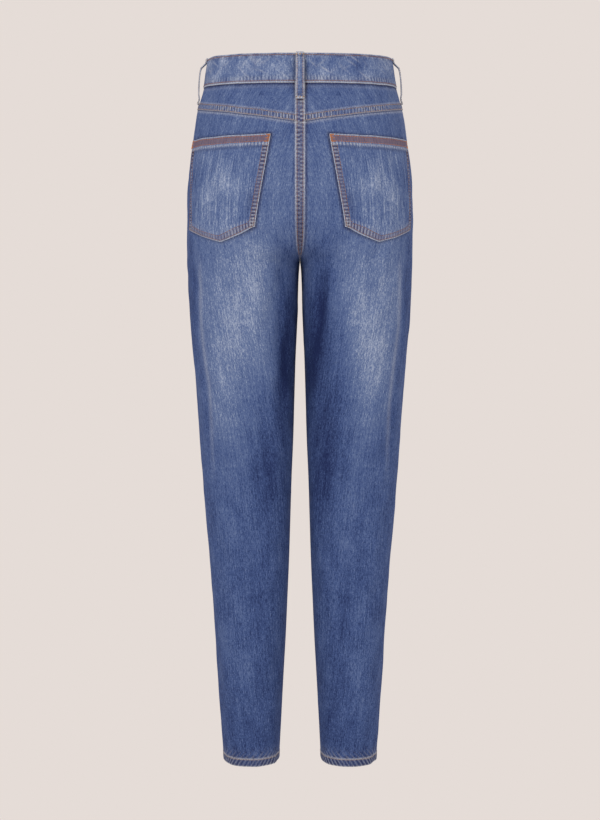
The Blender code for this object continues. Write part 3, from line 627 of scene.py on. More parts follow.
def add_bars(wear_and_shade, band, pull, dark, pale):
    """Leaves the hollows of a seam's puckers dark and rubs their tops pale, inside the band."""
    wear_and_shade["dye"] += band * np.maximum(pull, 0) * dark
    wear_and_shade["rub"] += band * np.maximum(-pull, 0) * pale


def step_up(distance, edge, width=STEP_WIDTH):
    """1 inside the edge and 0 past it, with a soft slope of the given width between."""
    return soft_step((edge + width - distance) / width)


def wash(face, side, x, z):
    """How pale the cloth is before seams are looked at: about 0 is deep indigo, 1 is nearly white. The
    table's spots under zero darken it with painted shade.
    """
    base = np.interp(z, WASH_LEVELS[::-1], WASH_FADES[::-1])
    return base + soft_spots(FADES_AND_SHADE, FADE_COLUMNS, face, side, x, z)


def plain_wear_and_shade(face, side, z, around):
    """The vertex values of a panel before its own seams: fades, and creases and folds darker in their hollows
    as painted shade and paler on their ridges, partly rubbed and partly painted highlight.
    """
    z, around = np.broadcast_arrays(z, around)
    point, _, _, _ = bare_cloth(side, z, around)
    x = point[..., 0]
    crease = soft_spots(CREASES, CREASE_COLUMNS, face, side, x, z) * free_of_seams(z, around)
    fold = fold_height(side, z, around)
    # Painted shade and highlight: the fade falls where creases and folds dip in and rises where they stand
    # out.
    fade = wash(face, side, x, z) + 140.0 * crease + 28.0 * fold
    return {
        "fade": fade,
        "rub": np.zeros(z.shape),
        "dye": np.zeros(z.shape),
        "stain": np.zeros(z.shape),
        "seam": np.zeros(z.shape),
    }


def grid_faces(rows, columns, offset, turned):
    """Quads of a grid of points that starts at the offset in the vertex list."""
    index = offset + np.arange(rows * columns).reshape(rows, columns)
    corners = [index[:-1, :-1], index[1:, :-1], index[1:, 1:], index[:-1, 1:]]
    if turned:
        corners.reverse()
    return np.stack(corners, axis=-1).reshape(-1, 4)


def rim_faces(rows, columns):
    """Quads that join the borders of two equal grids, the second listed straight after the first."""
    index = np.arange(rows * columns).reshape(rows, columns)
    edge = np.concatenate([index[:, 0], index[-1, 1:], index[-2::-1, -1], index[0, -2:0:-1]])
    after = np.roll(edge, -1)
    second = rows * columns
    return np.stack([after, edge, edge + second, after + second], axis=1)


def signed_volume(points, quads):
    corner = points[quads]
    first = np.einsum("ij,ij->i", corner[:, 0], np.cross(corner[:, 1], corner[:, 2])).sum()
    second = np.einsum("ij,ij->i", corner[:, 0], np.cross(corner[:, 2], corner[:, 3])).sum()
    return first + second


def link_piece(name, mesh):
    made = bpy.data.objects.new(name, mesh)
    bpy.context.scene.collection.objects.link(made)
    return made


def sew_wall(name, outer, inner, weave, wear_and_shade, materials):
    """A closed cloth wall between two grids of points, with weave coordinates and vertex values."""
    rows, columns = outer.shape[:2]
    points = np.concatenate([outer.reshape(-1, 3), inner.reshape(-1, 3)])
    outside = grid_faces(rows, columns, 0, False)
    inside = grid_faces(rows, columns, rows * columns, True)
    quads = np.concatenate([outside, rim_faces(rows, columns), inside])
    if signed_volume(points, quads) < 0:
        quads = quads[:, ::-1]
    mesh = bpy.data.meshes.new(name)
    mesh.from_pydata(points, [], quads)
    for material in materials:
        mesh.materials.append(material)
    indices = np.zeros(len(quads), np.int32)
    indices[-len(inside):] = 1
    mesh.polygons.foreach_set("material_index", indices)
    mesh.polygons.foreach_set("use_smooth", np.ones(len(quads), bool))
    mesh.set_sharp_from_angle(angle=math.radians(50))
    flat = np.tile(np.stack(weave, axis=-1).reshape(-1, 2), (2, 1)).astype(np.float32)
    mesh.uv_layers.new(name="weave").data.foreach_set("uv", flat[quads.ravel()].ravel())
    for key, values in wear_and_shade.items():
        both = np.tile(np.asarray(values, np.float32).ravel(), 2)
        mesh.attributes.new(key, "FLOAT", "POINT").data.foreach_set("value", both)
    mesh.update()
    return link_piece(name, mesh)


def sew_on(piece, node, cut):
    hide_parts(node)
    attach(piece, BODY)


def uneven_places(length, first, last, count):
    """Places along each row's length, closer together over the first and last stretches.

    first and last are (distance from the end, number of steps). length is an array, a value a row.
    """
    start = np.linspace(0, first[0], first[1] + 1)[:-1]
    finish = np.linspace(-last[0], 0, last[1] + 1)[1:]
    share = np.linspace(0, 1, count)
    middle = first[0] + (length[:, None] - first[0] - last[0]) * share[None, :]
    head = np.repeat(start[None, :], len(length), axis=0)
    tail = length[:, None] + finish[None, :]
    return np.concatenate([head, middle, tail], axis=1)


def start_material(name):
    """(material, empty node tree). The tree is None where the material has been made already."""
    made = bpy.data.materials.get(name)
    if made:
        return made, None
    made = bpy.data.materials.new(name)
    made.use_nodes = True
    made.node_tree.nodes.clear()
    return made, made.node_tree


def add_node(tree, kind, **settings):
    node = tree.nodes.new(kind)
    for key, value in settings.items():
        setattr(node, key, value)
    return node


def feed(tree, socket, source):
    """Sets a socket from another socket or from a plain value."""
    if isinstance(source, bpy.types.NodeSocket):
        tree.links.new(source, socket)
    else:
        socket.default_value = source


def reckon(tree, operation, first, second=0.0, clamp=False):
    """A Math node's result."""
    node = add_node(tree, "ShaderNodeMath", operation=operation, use_clamp=clamp)
    feed(tree, node.inputs[0], first)
    feed(tree, node.inputs[1], second)
    return node.outputs[0]


def blend_colour(tree, share, first, second):
    """A Mix node's colour."""
    node = add_node(tree, "ShaderNodeMix", data_type="RGBA")
    feed(tree, node.inputs["Factor"], share)
    for name, source in (("A", first), ("B", second)):
        socket = next(one for one in node.inputs if one.name == name and one.type == "RGBA")
        if isinstance(source, bpy.types.NodeSocket):
            tree.links.new(source, socket)
        else:
            socket.default_value = (*source, 1.0)
    return next(one for one in node.outputs if one.type == "RGBA")


def vertex_value(tree, name):
    return add_node(tree, "ShaderNodeAttribute", attribute_name=name).outputs["Fac"]


def weave_noise(tree, weave, across, along, detail=2.0, roughness=0.55):
    """Noise whose spots are across metres wide and along metres long on the cloth."""
    scaled = add_node(tree, "ShaderNodeVectorMath", operation="MULTIPLY")
    feed(tree, scaled.inputs[0], weave)
    scaled.inputs[1].default_value = (1 / across, 1 / along, 1.0)
    noise = add_node(tree, "ShaderNodeTexNoise", noise_dimensions="2D")
    feed(tree, noise.inputs["Vector"], scaled.outputs[0])
    noise.inputs["Scale"].default_value = 1.0
    noise.inputs["Detail"].default_value = detail
    noise.inputs["Roughness"].default_value = roughness
    return noise.outputs["Fac"]


def twill(tree, weave, pitch, lean=63.0):
    """Slanted lines of the weave, from -1 to 1."""
    across = add_node(tree, "ShaderNodeVectorMath", operation="DOT_PRODUCT")
    feed(tree, across.inputs[0], weave)
    turn = math.radians(lean)
    scale = 2 * math.pi / pitch
    across.inputs[1].default_value = (scale * math.sin(turn), -scale * math.cos(turn), 0.0)
    return reckon(tree, "SINE", across.outputs["Value"])


def object_noise(tree, scale, detail=2.0):
    """Noise on the object's own coordinates."""
    noise = add_node(tree, "ShaderNodeTexNoise")
    feed(tree, noise.inputs["Vector"], add_node(tree, "ShaderNodeTexCoord").outputs["Object"])
    noise.inputs["Scale"].default_value = scale
    noise.inputs["Detail"].default_value = detail
    return noise.outputs["Fac"]


def principled(tree, roughness, specular=0.5, metallic=0.0):
    shader = add_node(tree, "ShaderNodeBsdfPrincipled")
    shader.inputs["Roughness"].default_value = roughness
    shader.inputs["Specular IOR Level"].default_value = specular
    shader.inputs["Metallic"].default_value = metallic
    output = add_node(tree, "ShaderNodeOutputMaterial")
    tree.links.new(shader.outputs[0], output.inputs["Surface"])
    return shader


def add_bump(tree, shader, height, distance, strength=1.0):
    bump = add_node(tree, "ShaderNodeBump")
    bump.inputs["Strength"].default_value = strength
    bump.inputs["Distance"].default_value = distance
    feed(tree, bump.inputs["Height"], height)
    tree.links.new(bump.outputs[0], shader.inputs["Normal"])


def spread(tree, value, amount):
    """A noise value moved to be about zero, times the amount."""
    return reckon(tree, "MULTIPLY", reckon(tree, "SUBTRACT", value, 0.5), amount)


def denim(name, look, streaks=0.5, clouds=0.5):
    """Washed denim: yarn streaks and twill in a blue that follows the vertex values, which hold painted shade
    and shadow as well as the wash.
    """
    made, tree = start_material(name)
    if not tree:
        return made
    weave = add_node(tree, "ShaderNodeUVMap", uv_map="weave").outputs["UV"]
    slub = weave_noise(tree, weave, look.slub_width, look.slub_length, 3.0, 0.65)
    speck = weave_noise(tree, weave, look.slub_width * 0.9, look.slub_width * 1.6, 2.0, 0.7)
    streak = weave_noise(tree, weave, 0.0030, 0.055, 3.0, 0.6)
    cloud = weave_noise(tree, weave, 0.022, 0.034, 3.0)
    lines = twill(tree, weave, look.twill_pitch)
    # The fade value carries the wash, and also painted shade and highlight along folds, creases and wrinkles.
    tone = vertex_value(tree, "fade")
    for value, amount in ((slub, 0.85), (speck, 0.75), (streak, streaks), (cloud, clouds)):
        tone = reckon(tree, "ADD", tone, spread(tree, value, amount * look.grain))
    tone = reckon(tree, "ADD", tone, reckon(tree, "MULTIPLY", lines, 0.035 * look.grain))
    ramp = add_node(tree, "ShaderNodeValToRGB")
    stops = ((0.0, look.deep), (0.36, look.body), (0.72, look.faded), (1.0, look.pale))
    ramp.color_ramp.elements[0].position = stops[0][0]
    ramp.color_ramp.elements[1].position = stops[-1][0]
    for position, _ in stops[1:-1]:
        ramp.color_ramp.elements.new(position)
    for element, (_, shade) in zip(ramp.color_ramp.elements, stops):
        element.color = (*shade, 1.0)
    feed(tree, ramp.inputs["Fac"], tone)
    pull = weave_noise(tree, weave, 0.009, 0.0034, 2.0)
    seam = vertex_value(tree, "seam")
    pulled = reckon(tree, "MULTIPLY", spread(tree, pull, 3.0), seam)
    uneven = reckon(tree, "ADD", spread(tree, speck, 2.2), 0.85)
    rub = reckon(tree, "MULTIPLY", reckon(tree, "ADD", vertex_value(tree, "rub"), pulled), uneven, True)
    # The dark value mixes towards the dark colour: unwashed dye beside seams, and painted shade and shadow
    # under and beside raised parts.
    darkening = reckon(tree, "SUBTRACT", vertex_value(tree, "dye"), pulled)
    dye = reckon(tree, "MULTIPLY", darkening, reckon(tree, "ADD", spread(tree, slub, -1.2), 0.95), True)
    stain = reckon(tree, "MULTIPLY", vertex_value(tree, "stain"), uneven, True)
    shade = blend_colour(tree, stain, ramp.outputs["Color"], tuple(look.stained))
    shade = blend_colour(tree, dye, shade, tuple(look.dyed_and_shaded))
    shade = blend_colour(tree, rub, shade, tuple(look.rubbed))
    shader = principled(tree, 0.92, 0.12)
    feed(tree, shader.inputs["Base Color"], shade)
    relief = reckon(tree, "ADD", reckon(tree, "MULTIPLY", lines, 0.12), reckon(tree, "ADD", slub, speck))
    relief = reckon(tree, "ADD", relief, pulled)
    add_bump(tree, shader, relief, 0.00045)
    return made


def denim_inside(look):
    """The cloth's inner face: pale weft yarns with a slanted blue grain."""
    made, tree = start_material("denim inside")
    if not tree:
        return made
    weave = add_node(tree, "ShaderNodeUVMap", uv_map="weave").outputs["UV"]
    speck = weave_noise(tree, weave, look.slub_length * 0.5, look.slub_width, 3.0, 0.65)
    lines = twill(tree, weave, look.twill_pitch, -63.0)
    share = reckon(tree, "ADD", spread(tree, speck, 1.6), 0.35)
    share = reckon(tree, "ADD", share, reckon(tree, "MULTIPLY", lines, 0.10), True)
    shader = principled(tree, 0.95, 0.10)
    feed(tree, shader.inputs["Base Color"], blend_colour(tree, share, tuple(look.inside), tuple(look.body)))
    add_bump(tree, shader, reckon(tree, "ADD", speck, reckon(tree, "MULTIPLY", lines, 0.2)), 0.0004)
    return made


def denim_pair(context, name, **settings):
    look = context.scene.jeans_wash
    return denim(name, look, **settings), denim_inside(look)


def thread(name, shade):
    """Sewing thread: a twisted ply's fine slanted lines in one warm colour."""
    made, tree = start_material(name)
    if not tree:
        return made
    noise = object_noise(tree, 240.0)
    ply = object_noise(tree, 2600.0)
    dark = tuple(0.45 * part for part in shade)
    share = reckon(tree, "ADD", spread(tree, noise, 2.4), 0.35, True)
    shader = principled(tree, 0.7, 0.25)
    feed(tree, shader.inputs["Base Color"], blend_colour(tree, share, tuple(shade), dark))
    add_bump(tree, shader, ply, 0.0002)
    return made


def aged_metal():
    """Antique brass with dark hollows and a soft uneven gloss."""
    made, tree = start_material("aged metal finish")
    cloud = object_noise(tree, 420.0, 5.0)
    share = reckon(tree, "ADD", spread(tree, cloud, 2.6), 0.4, True)
    shader = principled(tree, 0.4, 0.5, 1.0)
    shade = blend_colour(tree, share, colour(168, 138, 98), colour(84, 68, 52))
    feed(tree, shader.inputs["Base Color"], shade)
    feed(tree, shader.inputs["Roughness"], reckon(tree, "ADD", reckon(tree, "MULTIPLY", share, 0.25), 0.32))
    add_bump(tree, shader, cloud, 0.00012)
    return made


def tape_cloth():
    """The zip's dark woven tape, with fine ribs across it."""
    made, tree = start_material("tape cloth")
    weave = add_node(tree, "ShaderNodeUVMap", uv_map="weave").outputs["UV"]
    ribs = twill(tree, weave, 0.0008, 0.0)
    fuzz = weave_noise(tree, weave, 0.0012, 0.0012)
    share = reckon(tree, "ADD", reckon(tree, "MULTIPLY", ribs, 0.25), fuzz, True)
    shader = principled(tree, 0.85, 0.2)
    feed(tree, shader.inputs["Base Color"], blend_colour(tree, share, colour(34, 40, 62), colour(58, 66, 92)))
    add_bump(tree, shader, ribs, 0.00015)
    return made


def pocket_edges(z):
    """Distances around of the pocket's outer and inner edges."""
    top_z = (POCKET_TOP_INNER_Z + POCKET_TOP_OUTER_Z) / 2
    low_z = (POCKET_LOW_INNER_Z + POCKET_LOW_OUTER_Z) / 2
    down = np.clip((top_z - z) / (top_z - low_z), 0, 1)
    from_back = [
        first + (last - first) * down for first, last in zip(POCKET_TOP_FROM_BACK, POCKET_LOW_FROM_BACK)
    ]
    middle = back_middle(np.maximum(z, low_z))
    outer, inner = middle - from_back[1], middle - from_back[0]
    blend = np.clip((low_z - z) / (low_z - CROTCH_Z), 0, 1)
    outer = outer * (1 - blend) + 0.17 * back_length(z) * blend
    inner = inner * (1 - blend) + 0.64 * back_length(z) * blend
    return outer, inner


def pocket_mouth(share):
    """Level of the pocket's mouth at a share from its outer (0) to its inner edge (1)."""
    return POCKET_TOP_OUTER_Z + (POCKET_TOP_INNER_Z - POCKET_TOP_OUTER_Z) * share


def pocket_low(share):
    """Level of the pocket's lower edge, which comes to a blunt point in the middle."""
    return np.interp(share, (0.0, 0.5, 1.0), (POCKET_LOW_OUTER_Z, POCKET_POINT_Z, POCKET_LOW_INNER_Z))


def yoke_line(share):
    """Level of the yoke's lower edge, at a share from the side seam (0) to the centre back (1)."""
    return BAND_BOTTOM - YOKE_AT_SIDE - (YOKE_AT_BACK - YOKE_AT_SIDE) * share**YOKE_CURVE


def back_share(z, around):
    """How far across the back a place is, from the side seam (0) to the centre back (1)."""
    return np.clip((around - SIDE_SEAM) / (back_middle(z) - SIDE_SEAM), 0, 1)


def seat_strip(z, around):
    """1 on the felled centre back seam, fading out towards the crotch."""
    fade = np.clip((z - CROTCH_Z) / 0.03, 0, 1)
    return fade * step_up(back_middle(z) - around, SEAM_HALF_WIDTH)


def seat_lift(z, around):
    """Outer lift on and beside the centre back seam: the felled strip with a pucker at each stitch."""
    pull = puckers(z, *SEAT_PUCKERS) * seat_strip(z, around)
    groove = bump_line(back_middle(z) - around - SEAT_ROW, 0.0009) * seat_strip(z, around)
    return SEAM_RAISE * seat_strip(z, around) + 0.00014 * pull - 0.00018 * groove


def seat_wear_and_shade(wear_and_shade, side, z, around):
    """Rubs the centre back seam's edges pale and flecks its strip, and paints shade: darker towards the
    crotch, and a shadow just outside the strip.
    """
    from_back = back_middle(z) - around
    above = np.clip((z - CROTCH_Z) / 0.02, 0, 1)
    strip = seat_strip(z, around)
    edge = bump_line(from_back - SEAM_HALF_WIDTH - 0.0004, 0.0010) * above
    period, phase = SEAT_PUCKERS
    fleck = puckers(z, period, phase if side == "left" else phase + 1.2)
    # Painted shade: towards the crotch, where the seam sinks into a valley, the strip is darker and its
    # rubbed edges duller.
    low = soft_step((-0.150 - z) / 0.080)
    wear_and_shade["rub"] += edge * (0.80 - 0.35 * low) * (0.8 + 0.2 * fleck)
    wear_and_shade["rub"] += strip * np.maximum(-fleck, 0) * (0.55 - 0.40 * low)
    wear_and_shade["dye"] += strip * (np.maximum(fleck, 0) * 0.62 + 0.10 + 0.40 * low)
    wear_and_shade["stain"] += strip * 0.20
    # Painted shadow just outside the strip, darker beside the right half's.
    seam_shadow = bump_line(from_back - SEAM_HALF_WIDTH - 0.0032, 0.0017) * above
    wear_and_shade["dye"] += seam_shadow * (0.22 if side == "left" else 0.60)


def yoke_lift(z, around, above_line):
    """Outer lift of the yoke: its felled lower band, ladder-like puckers between the rows, the seat seam."""
    band = step_up(above_line, YOKE_BAND)
    inside = bump_line(above_line - 0.0048, 0.0030)
    pull = puckers(around + 0.35 * above_line, *YOKE_PUCKERS) * inside
    groove = sum(bump_line(above_line - row, 0.0008) for row in YOKE_ROWS)
    lift = SEAM_RAISE * band + 0.00020 * pull - 0.00016 * groove
    return np.maximum(lift, seat_lift(z, around))


def yoke_wear_and_shade(side, z, around, above_line):
    wear_and_shade = plain_wear_and_shade("back", side, z, around)
    inside = soft_step((above_line - 0.0010) / 0.0012) * soft_step((0.0086 - above_line) / 0.0012)
    bars = puckers(around + 0.35 * above_line, *YOKE_PUCKERS)
    off_seat = 1 - seat_strip(z, around)
    add_bars(wear_and_shade, inside * off_seat, bars, 0.95, 0.70)
    wear_and_shade["rub"] += off_seat * bump_line(above_line - 0.0002, 0.0007) * 0.45
    wear_and_shade["rub"] += off_seat * bump_line(above_line - YOKE_BAND - 0.0006, 0.0009) * 0.28
    wear_and_shade["stain"] += off_seat * sum(bump_line(above_line - row, 0.0012) for row in YOKE_ROWS) * 0.35
    # Painted shadow under the waistband's lower edge.
    under_band = BAND_BOTTOM - z
    wear_and_shade["dye"] += bump_line(under_band - 0.0004, 0.0026) * 0.85
    wear_and_shade["rub"] += bump_line(under_band - 0.0052, 0.0018) * 0.10
    seat_wear_and_shade(wear_and_shade, side, z, around)
    wear_and_shade["dye"] += loop_foot_shadow(z, around)
    return wear_and_shade


def loop_foot_shadow(z, around):
    """Dark cloth just under and beside the feet of the back and side loops."""
    foot = BAND_BOTTOM - LOOP_BELOW_BAND
    total = np.zeros(np.shape(z))
    for middle in (back_middle(z), SIDE_LOOP_AROUND):
        over = np.abs(around - middle)
        below = bump_line(z - foot + 0.0015, 0.0016) * step_up(over, LOOP_HALF_WIDTH)
        beside = bump_line(over - LOOP_HALF_WIDTH - 0.0012, 0.0014) * soft_step((z - foot) / 0.004)
        total += 0.75 * below + 0.45 * beside
    return total


def yoke_grid():
    """Levels and distances around of a yoke's grid, from the waistband down to its lower edge."""
    top = BAND_BOTTOM - SEAM_GAP
    share = np.concatenate([[0, 0.003], np.linspace(0.008, 0.96, 122), np.linspace(0.963, 1, 12)])
    low = yoke_line(share) + SHELL_GAP / 2
    down = np.linspace(0, 1, 19)[:-1]
    fine = np.linspace(1, 0, 18)
    knee = low + YOKE_BAND + STEP_WIDTH
    rows = [top + (knee - top) * part for part in down]
    rows += [low + (knee - low) * part for part in fine]
    z = np.array(rows)
    start, end = SIDE_SEAM + SHELL_GAP / 2, back_middle(z) - SHELL_GAP / 2
    return z, start + (end - start) * share[None, :], z - low[None, :]


def make_yoke(context, side):
    z, around, above_line = yoke_grid()
    lift = yoke_lift(z, around, above_line)
    outer = keep_to_side(side, cloth(side, z, around, lift))
    inner = keep_to_side(side, cloth(side, z, around, -DENIM))
    materials = denim_pair(context, "seat denim look", streaks=0.35, clouds=0.45)
    weave = (around, z)
    wear_and_shade = yoke_wear_and_shade(side, z, around, above_line)
    piece = sew_wall(f"yoke_cloth_{side}", outer, inner, weave, wear_and_shade, materials)
    sew_on(piece, f"back_yoke_{side}", cloth(side, z, around))


def leg_rows(top):
    """Rows of levels of a leg's grid, from its top edge (a level a column) to the hem."""
    upper = [top + (CROTCH_Z - top) * part for part in np.linspace(0, 1, 104)]
    hem_start = HEM_Z + 0.020
    flat = np.ones(len(top))
    lower = [flat * z for z in np.linspace(CROTCH_Z, hem_start, 186)[1:]]
    hem = [flat * z for z in np.linspace(hem_start, HEM_Z, 21)[1:]]
    return np.array(upper + lower + hem)


def back_leg_grid():
    count = (2, 108, 11)
    columns = sum(count)
    share = np.linspace(0, 1, columns)
    z = leg_rows(yoke_line(share) - SHELL_GAP / 2)
    start, end = SIDE_SEAM + SHELL_GAP / 2, back_middle(z) - SHELL_GAP / 2
    around = np.zeros(z.shape)
    for column in range(columns):
        length = end[:, column] - start
        places = uneven_places(length, (0.0012, count[0]), (0.0085, count[2]), count[1])
        around[:, column] = start + places[:, column]
    # The yoke's line is read at the share that each column really has.
    top_share = back_share(z[0], around[0])
    z = leg_rows(yoke_line(top_share) - SHELL_GAP / 2)
    end = back_middle(z) - SHELL_GAP / 2
    for column in range(columns):
        places = uneven_places(end[:, column] - start, (0.0012, count[0]), (0.0085, count[2]), count[1])
        around[:, column] = start + places[:, column]
    return z, around


def hem_pucker(around, above):
    """Slanted roping along the hem."""
    return puckers(around - 0.75 * above, *HEM_PUCKERS)


def hem_wear(wear_and_shade, around, z):
    above = z - HEM_Z
    inside = step_up(above, HEM_ROW - 0.0004)
    rope = hem_pucker(around, above)
    wear_and_shade["dye"] += inside * 0.30
    add_bars(wear_and_shade, inside, rope, 0.50, 0.45)
    wear_and_shade["rub"] += bump_line(above - 0.0004, 0.0009) * 0.50
    wear_and_shade["rub"] += bump_line(above - HEM_ROW - 0.0010, 0.0012) * 0.50
    wear_and_shade["dye"] += bump_line(above - HEM_ROW - 0.0034, 0.0015) * 0.25
    scratch = puckers(around - 1.1 * above, 0.0078, 0.4)
    over_row = soft_step((above - HEM_ROW) / 0.003) * bump_line(above - 0.013, 0.009)
    wear_and_shade["rub"] += over_row * np.maximum(scratch, 0) * 0.30
    wear_and_shade["stain"] += bump_line(above - HEM_ROW, 0.0010) * 0.30


def hem_lifts(z, around, outer, inner):
    """Outer and inner lifts of a leg, with the hem's folded edge thicker and roped."""
    above = z - HEM_Z
    hem = step_up(above, HEM_HEIGHT)
    rope = hem_pucker(around, above) * step_up(above, HEM_ROW)
    groove = bump_line(above - HEM_ROW, 0.0009)
    roll = bump_line(above, 0.0010)
    raised = outer + HEM_OUT * hem + 0.00022 * rope - 0.00020 * groove - 0.0005 * roll
    return raised, inner - (HEM_IN - DENIM) * hem + 0.0005 * roll


def outside_pocket(z, around):
    """How far a place on the back lies outside the pocket's outline, minus inside it."""
    outer, inner = pocket_edges(z)
    share = (around - outer) / (inner - outer)
    share = np.clip(share, 0, 1)
    return np.maximum.reduce([outer - around, around - inner, z - pocket_mouth(share), pocket_low(share) - z])


def back_leg_wear_and_shade(side, z, around):
    wear_and_shade = plain_wear_and_shade("back", side, z, around)
    x = np.abs(bare_cloth(side, z, around)[0][..., 0])
    from_edge = read_section("outer", z.ravel()).reshape(z.shape) - x - RIDGE_FROM_EDGE
    reach = soft_step((RIDGE_TOP_Z - z) / 0.05) * soft_step((z - RIDGE_LOW_Z) / 0.16)
    behind = (around > 0.02).astype(float)
    wander = 0.0016 * np.sin(z * 31.0)
    wear_and_shade["rub"] += bump_line(from_edge + wander, RIDGE_WIDTH) * reach * behind * 0.20
    wear_and_shade["fade"] -= bump_line(from_edge + wander + 0.0080, 0.0050) * reach * behind * 0.10
    below_yoke = yoke_line(back_share(z, around)) - z
    halo = puckers(around, *YOKE_PUCKERS)
    # Painted shade in a thin line just under the yoke's raised edge.
    wear_and_shade["dye"] += bump_line(below_yoke, 0.0009) * 0.65
    wear_and_shade["rub"] += bump_line(below_yoke - 0.0024, 0.0014) * (0.34 + 0.16 * halo)
    # Painted shadow just outside the pocket's outline, heavier along its inner side.
    outside = outside_pocket(z, around)
    inner_side = soft_step((around - pocket_edges(z)[1] + 0.03) / 0.03)
    wear_and_shade["dye"] += bump_line(outside - 0.0012, 0.0019) * (0.45 + 0.30 * inner_side)
    side_seam = bump_line(around - SIDE_SEAM, 0.0075)
    seam = np.maximum(side_seam, bump_line(back_length(z) - around, 0.0075))
    wear_and_shade["seam"] += np.where(z > CROTCH_Z, 0.5 * side_seam, 0.8 * seam)
    seat_wear_and_shade(wear_and_shade, side, z, around)
    hem_wear(wear_and_shade, around, z)
    return wear_and_shade


def make_back_leg(context, side):
    z, around = back_leg_grid()
    out, into = hem_lifts(z, around, seat_lift(z, around), np.full(z.shape, -DENIM))
    outer = keep_to_side(side, cloth(side, z, around, out))
    inner = keep_to_side(side, cloth(side, z, around, into))
    materials = denim_pair(context, "leg denim look", streaks=0.42, clouds=0.30)
    wear_and_shade = back_leg_wear_and_shade(side, z, around)
    piece = sew_wall(f"back_leg_cloth_{side}", outer, inner, (around, z), wear_and_shade, materials)
    sew_on(piece, f"back_leg_{side}", cloth(side, z, around))


def scoop_width(z):
    """How far the front pocket's mouth cuts in from the side seam at a level."""
    down = np.clip((BAND_BOTTOM - z) / SCOOP_DEPTH, 0, 1)
    return SCOOP_WIDTH * np.sqrt(1 - down**2)


def fly_reach(z):
    """How far the left front laps past the middle: straight down the fly, then curved in to its end."""
    t = np.clip((z - FLY_END_Z) / (FLY_STRAIGHT_Z - FLY_END_Z), 0, 1)
    return (FLY_OVERLAP + SEAM_GAP / 2) * np.sqrt(1 - (1 - t) ** 2) - SEAM_GAP / 2


def fly_dive(z, from_middle):
    """How far the right front's edge goes in, under the fly."""
    across = soft_step((FLY_DIVE_FROM - from_middle) / (FLY_DIVE_FROM - FLY_DIVE_TO))
    down = soft_step((z - FLY_END_Z + 0.030) / 0.030)
    return FLY_DIVE * across * down


def front_leg_grid(side):
    scoop = BAND_BOTTOM - SCOOP_DEPTH * np.sin(np.linspace(0.0, math.pi / 2, 46)[1:])
    levels = [BAND_BOTTOM - SEAM_GAP, *scoop]
    levels += list(np.linspace(scoop[-1], FLY_STRAIGHT_Z, 20)[1:])
    levels += list(np.linspace(FLY_STRAIGHT_Z, FLY_END_Z, 21)[1:])
    levels += list(np.linspace(FLY_END_Z, CROTCH_Z, 50)[1:])
    hem_start = HEM_Z + 0.020
    levels += list(np.linspace(CROTCH_Z, hem_start, 150)[1:])
    levels += list(np.linspace(hem_start, HEM_Z, 21)[1:])
    z = np.array(levels)
    start = SIDE_SEAM - SHELL_GAP / 2 - scoop_width(z)
    reach = np.where(z > FLY_END_Z, np.maximum(fly_reach(z), -SHELL_GAP / 2), -SHELL_GAP / 2)
    end = front_middle(z) + (reach if side == "left" else -SHELL_GAP / 2)
    places = uneven_places(end + start, (0.0016, 2), (0.0100, 9), 84)
    around = start[:, None] - places
    return np.repeat(z[:, None], around.shape[1], axis=1), around


def front_leg_lifts(side, z, around):
    """Outer and inner lifts of a front: rolled pocket mouth, the fly's dive, the hem."""
    to_mouth = -around - (scoop_width(z) - SIDE_SEAM)
    at_pocket = (z > BAND_BOTTOM - SCOOP_DEPTH).astype(float)
    roll = bump_line(to_mouth, 0.0012) * at_pocket * 0.0004
    groove = sum(bump_line(to_mouth - row, 0.0009) for row in SCOOP_ROWS) * at_pocket * 0.00016
    lift = -roll - groove
    dive = fly_dive(z, front_middle(z) + around) if side == "right" else 0.0
    return hem_lifts(z, around, lift - dive, np.full(z.shape, -DENIM) - dive)


def front_leg_wear_and_shade(side, z, around):
    wear_and_shade = plain_wear_and_shade("front", side, z, around)
    to_mouth = -around - (scoop_width(z) - SIDE_SEAM)
    at_pocket = (z > BAND_BOTTOM - SCOOP_DEPTH).astype(float)
    turn = np.arctan2(BAND_BOTTOM - z, np.maximum(SIDE_SEAM - around, 1e-4)) * SCOOP_WIDTH
    pull = puckers(turn, *SCOOP_PUCKERS)
    band = soft_step((to_mouth - 0.001) / 0.001) * soft_step((0.0095 - to_mouth) / 0.001) * at_pocket
    add_bars(wear_and_shade, band, pull, 0.60, 0.40)
    wear_and_shade["rub"] += bump_line(to_mouth, 0.0010) * at_pocket * 0.75
    # Painted shadow under the waistband's lower edge.
    wear_and_shade["dye"] += bump_line(BAND_BOTTOM - z - 0.0004, 0.0026) * 0.80
    from_middle = front_middle(z) + around
    seam = np.maximum(bump_line(around - SIDE_SEAM, 0.0075), bump_line(from_middle, 0.0065))
    wear_and_shade["seam"] += seam * 0.7
    if side == "left":
        fly = soft_step((z - FLY_END_Z) / 0.01)
        for row in FLY_ROWS:
            wear_and_shade["dye"] += bump_line(from_middle - row - 0.0014, 0.0012) * fly * 0.35
            wear_and_shade["rub"] += bump_line(from_middle - row + 0.0016, 0.0012) * fly * 0.20
        edge = front_middle(z) + around + fly_reach(z)
        wear_and_shade["rub"] += bump_line(edge, 0.0009) * fly * 0.7
    hem_wear(wear_and_shade, around, z)
    return wear_and_shade


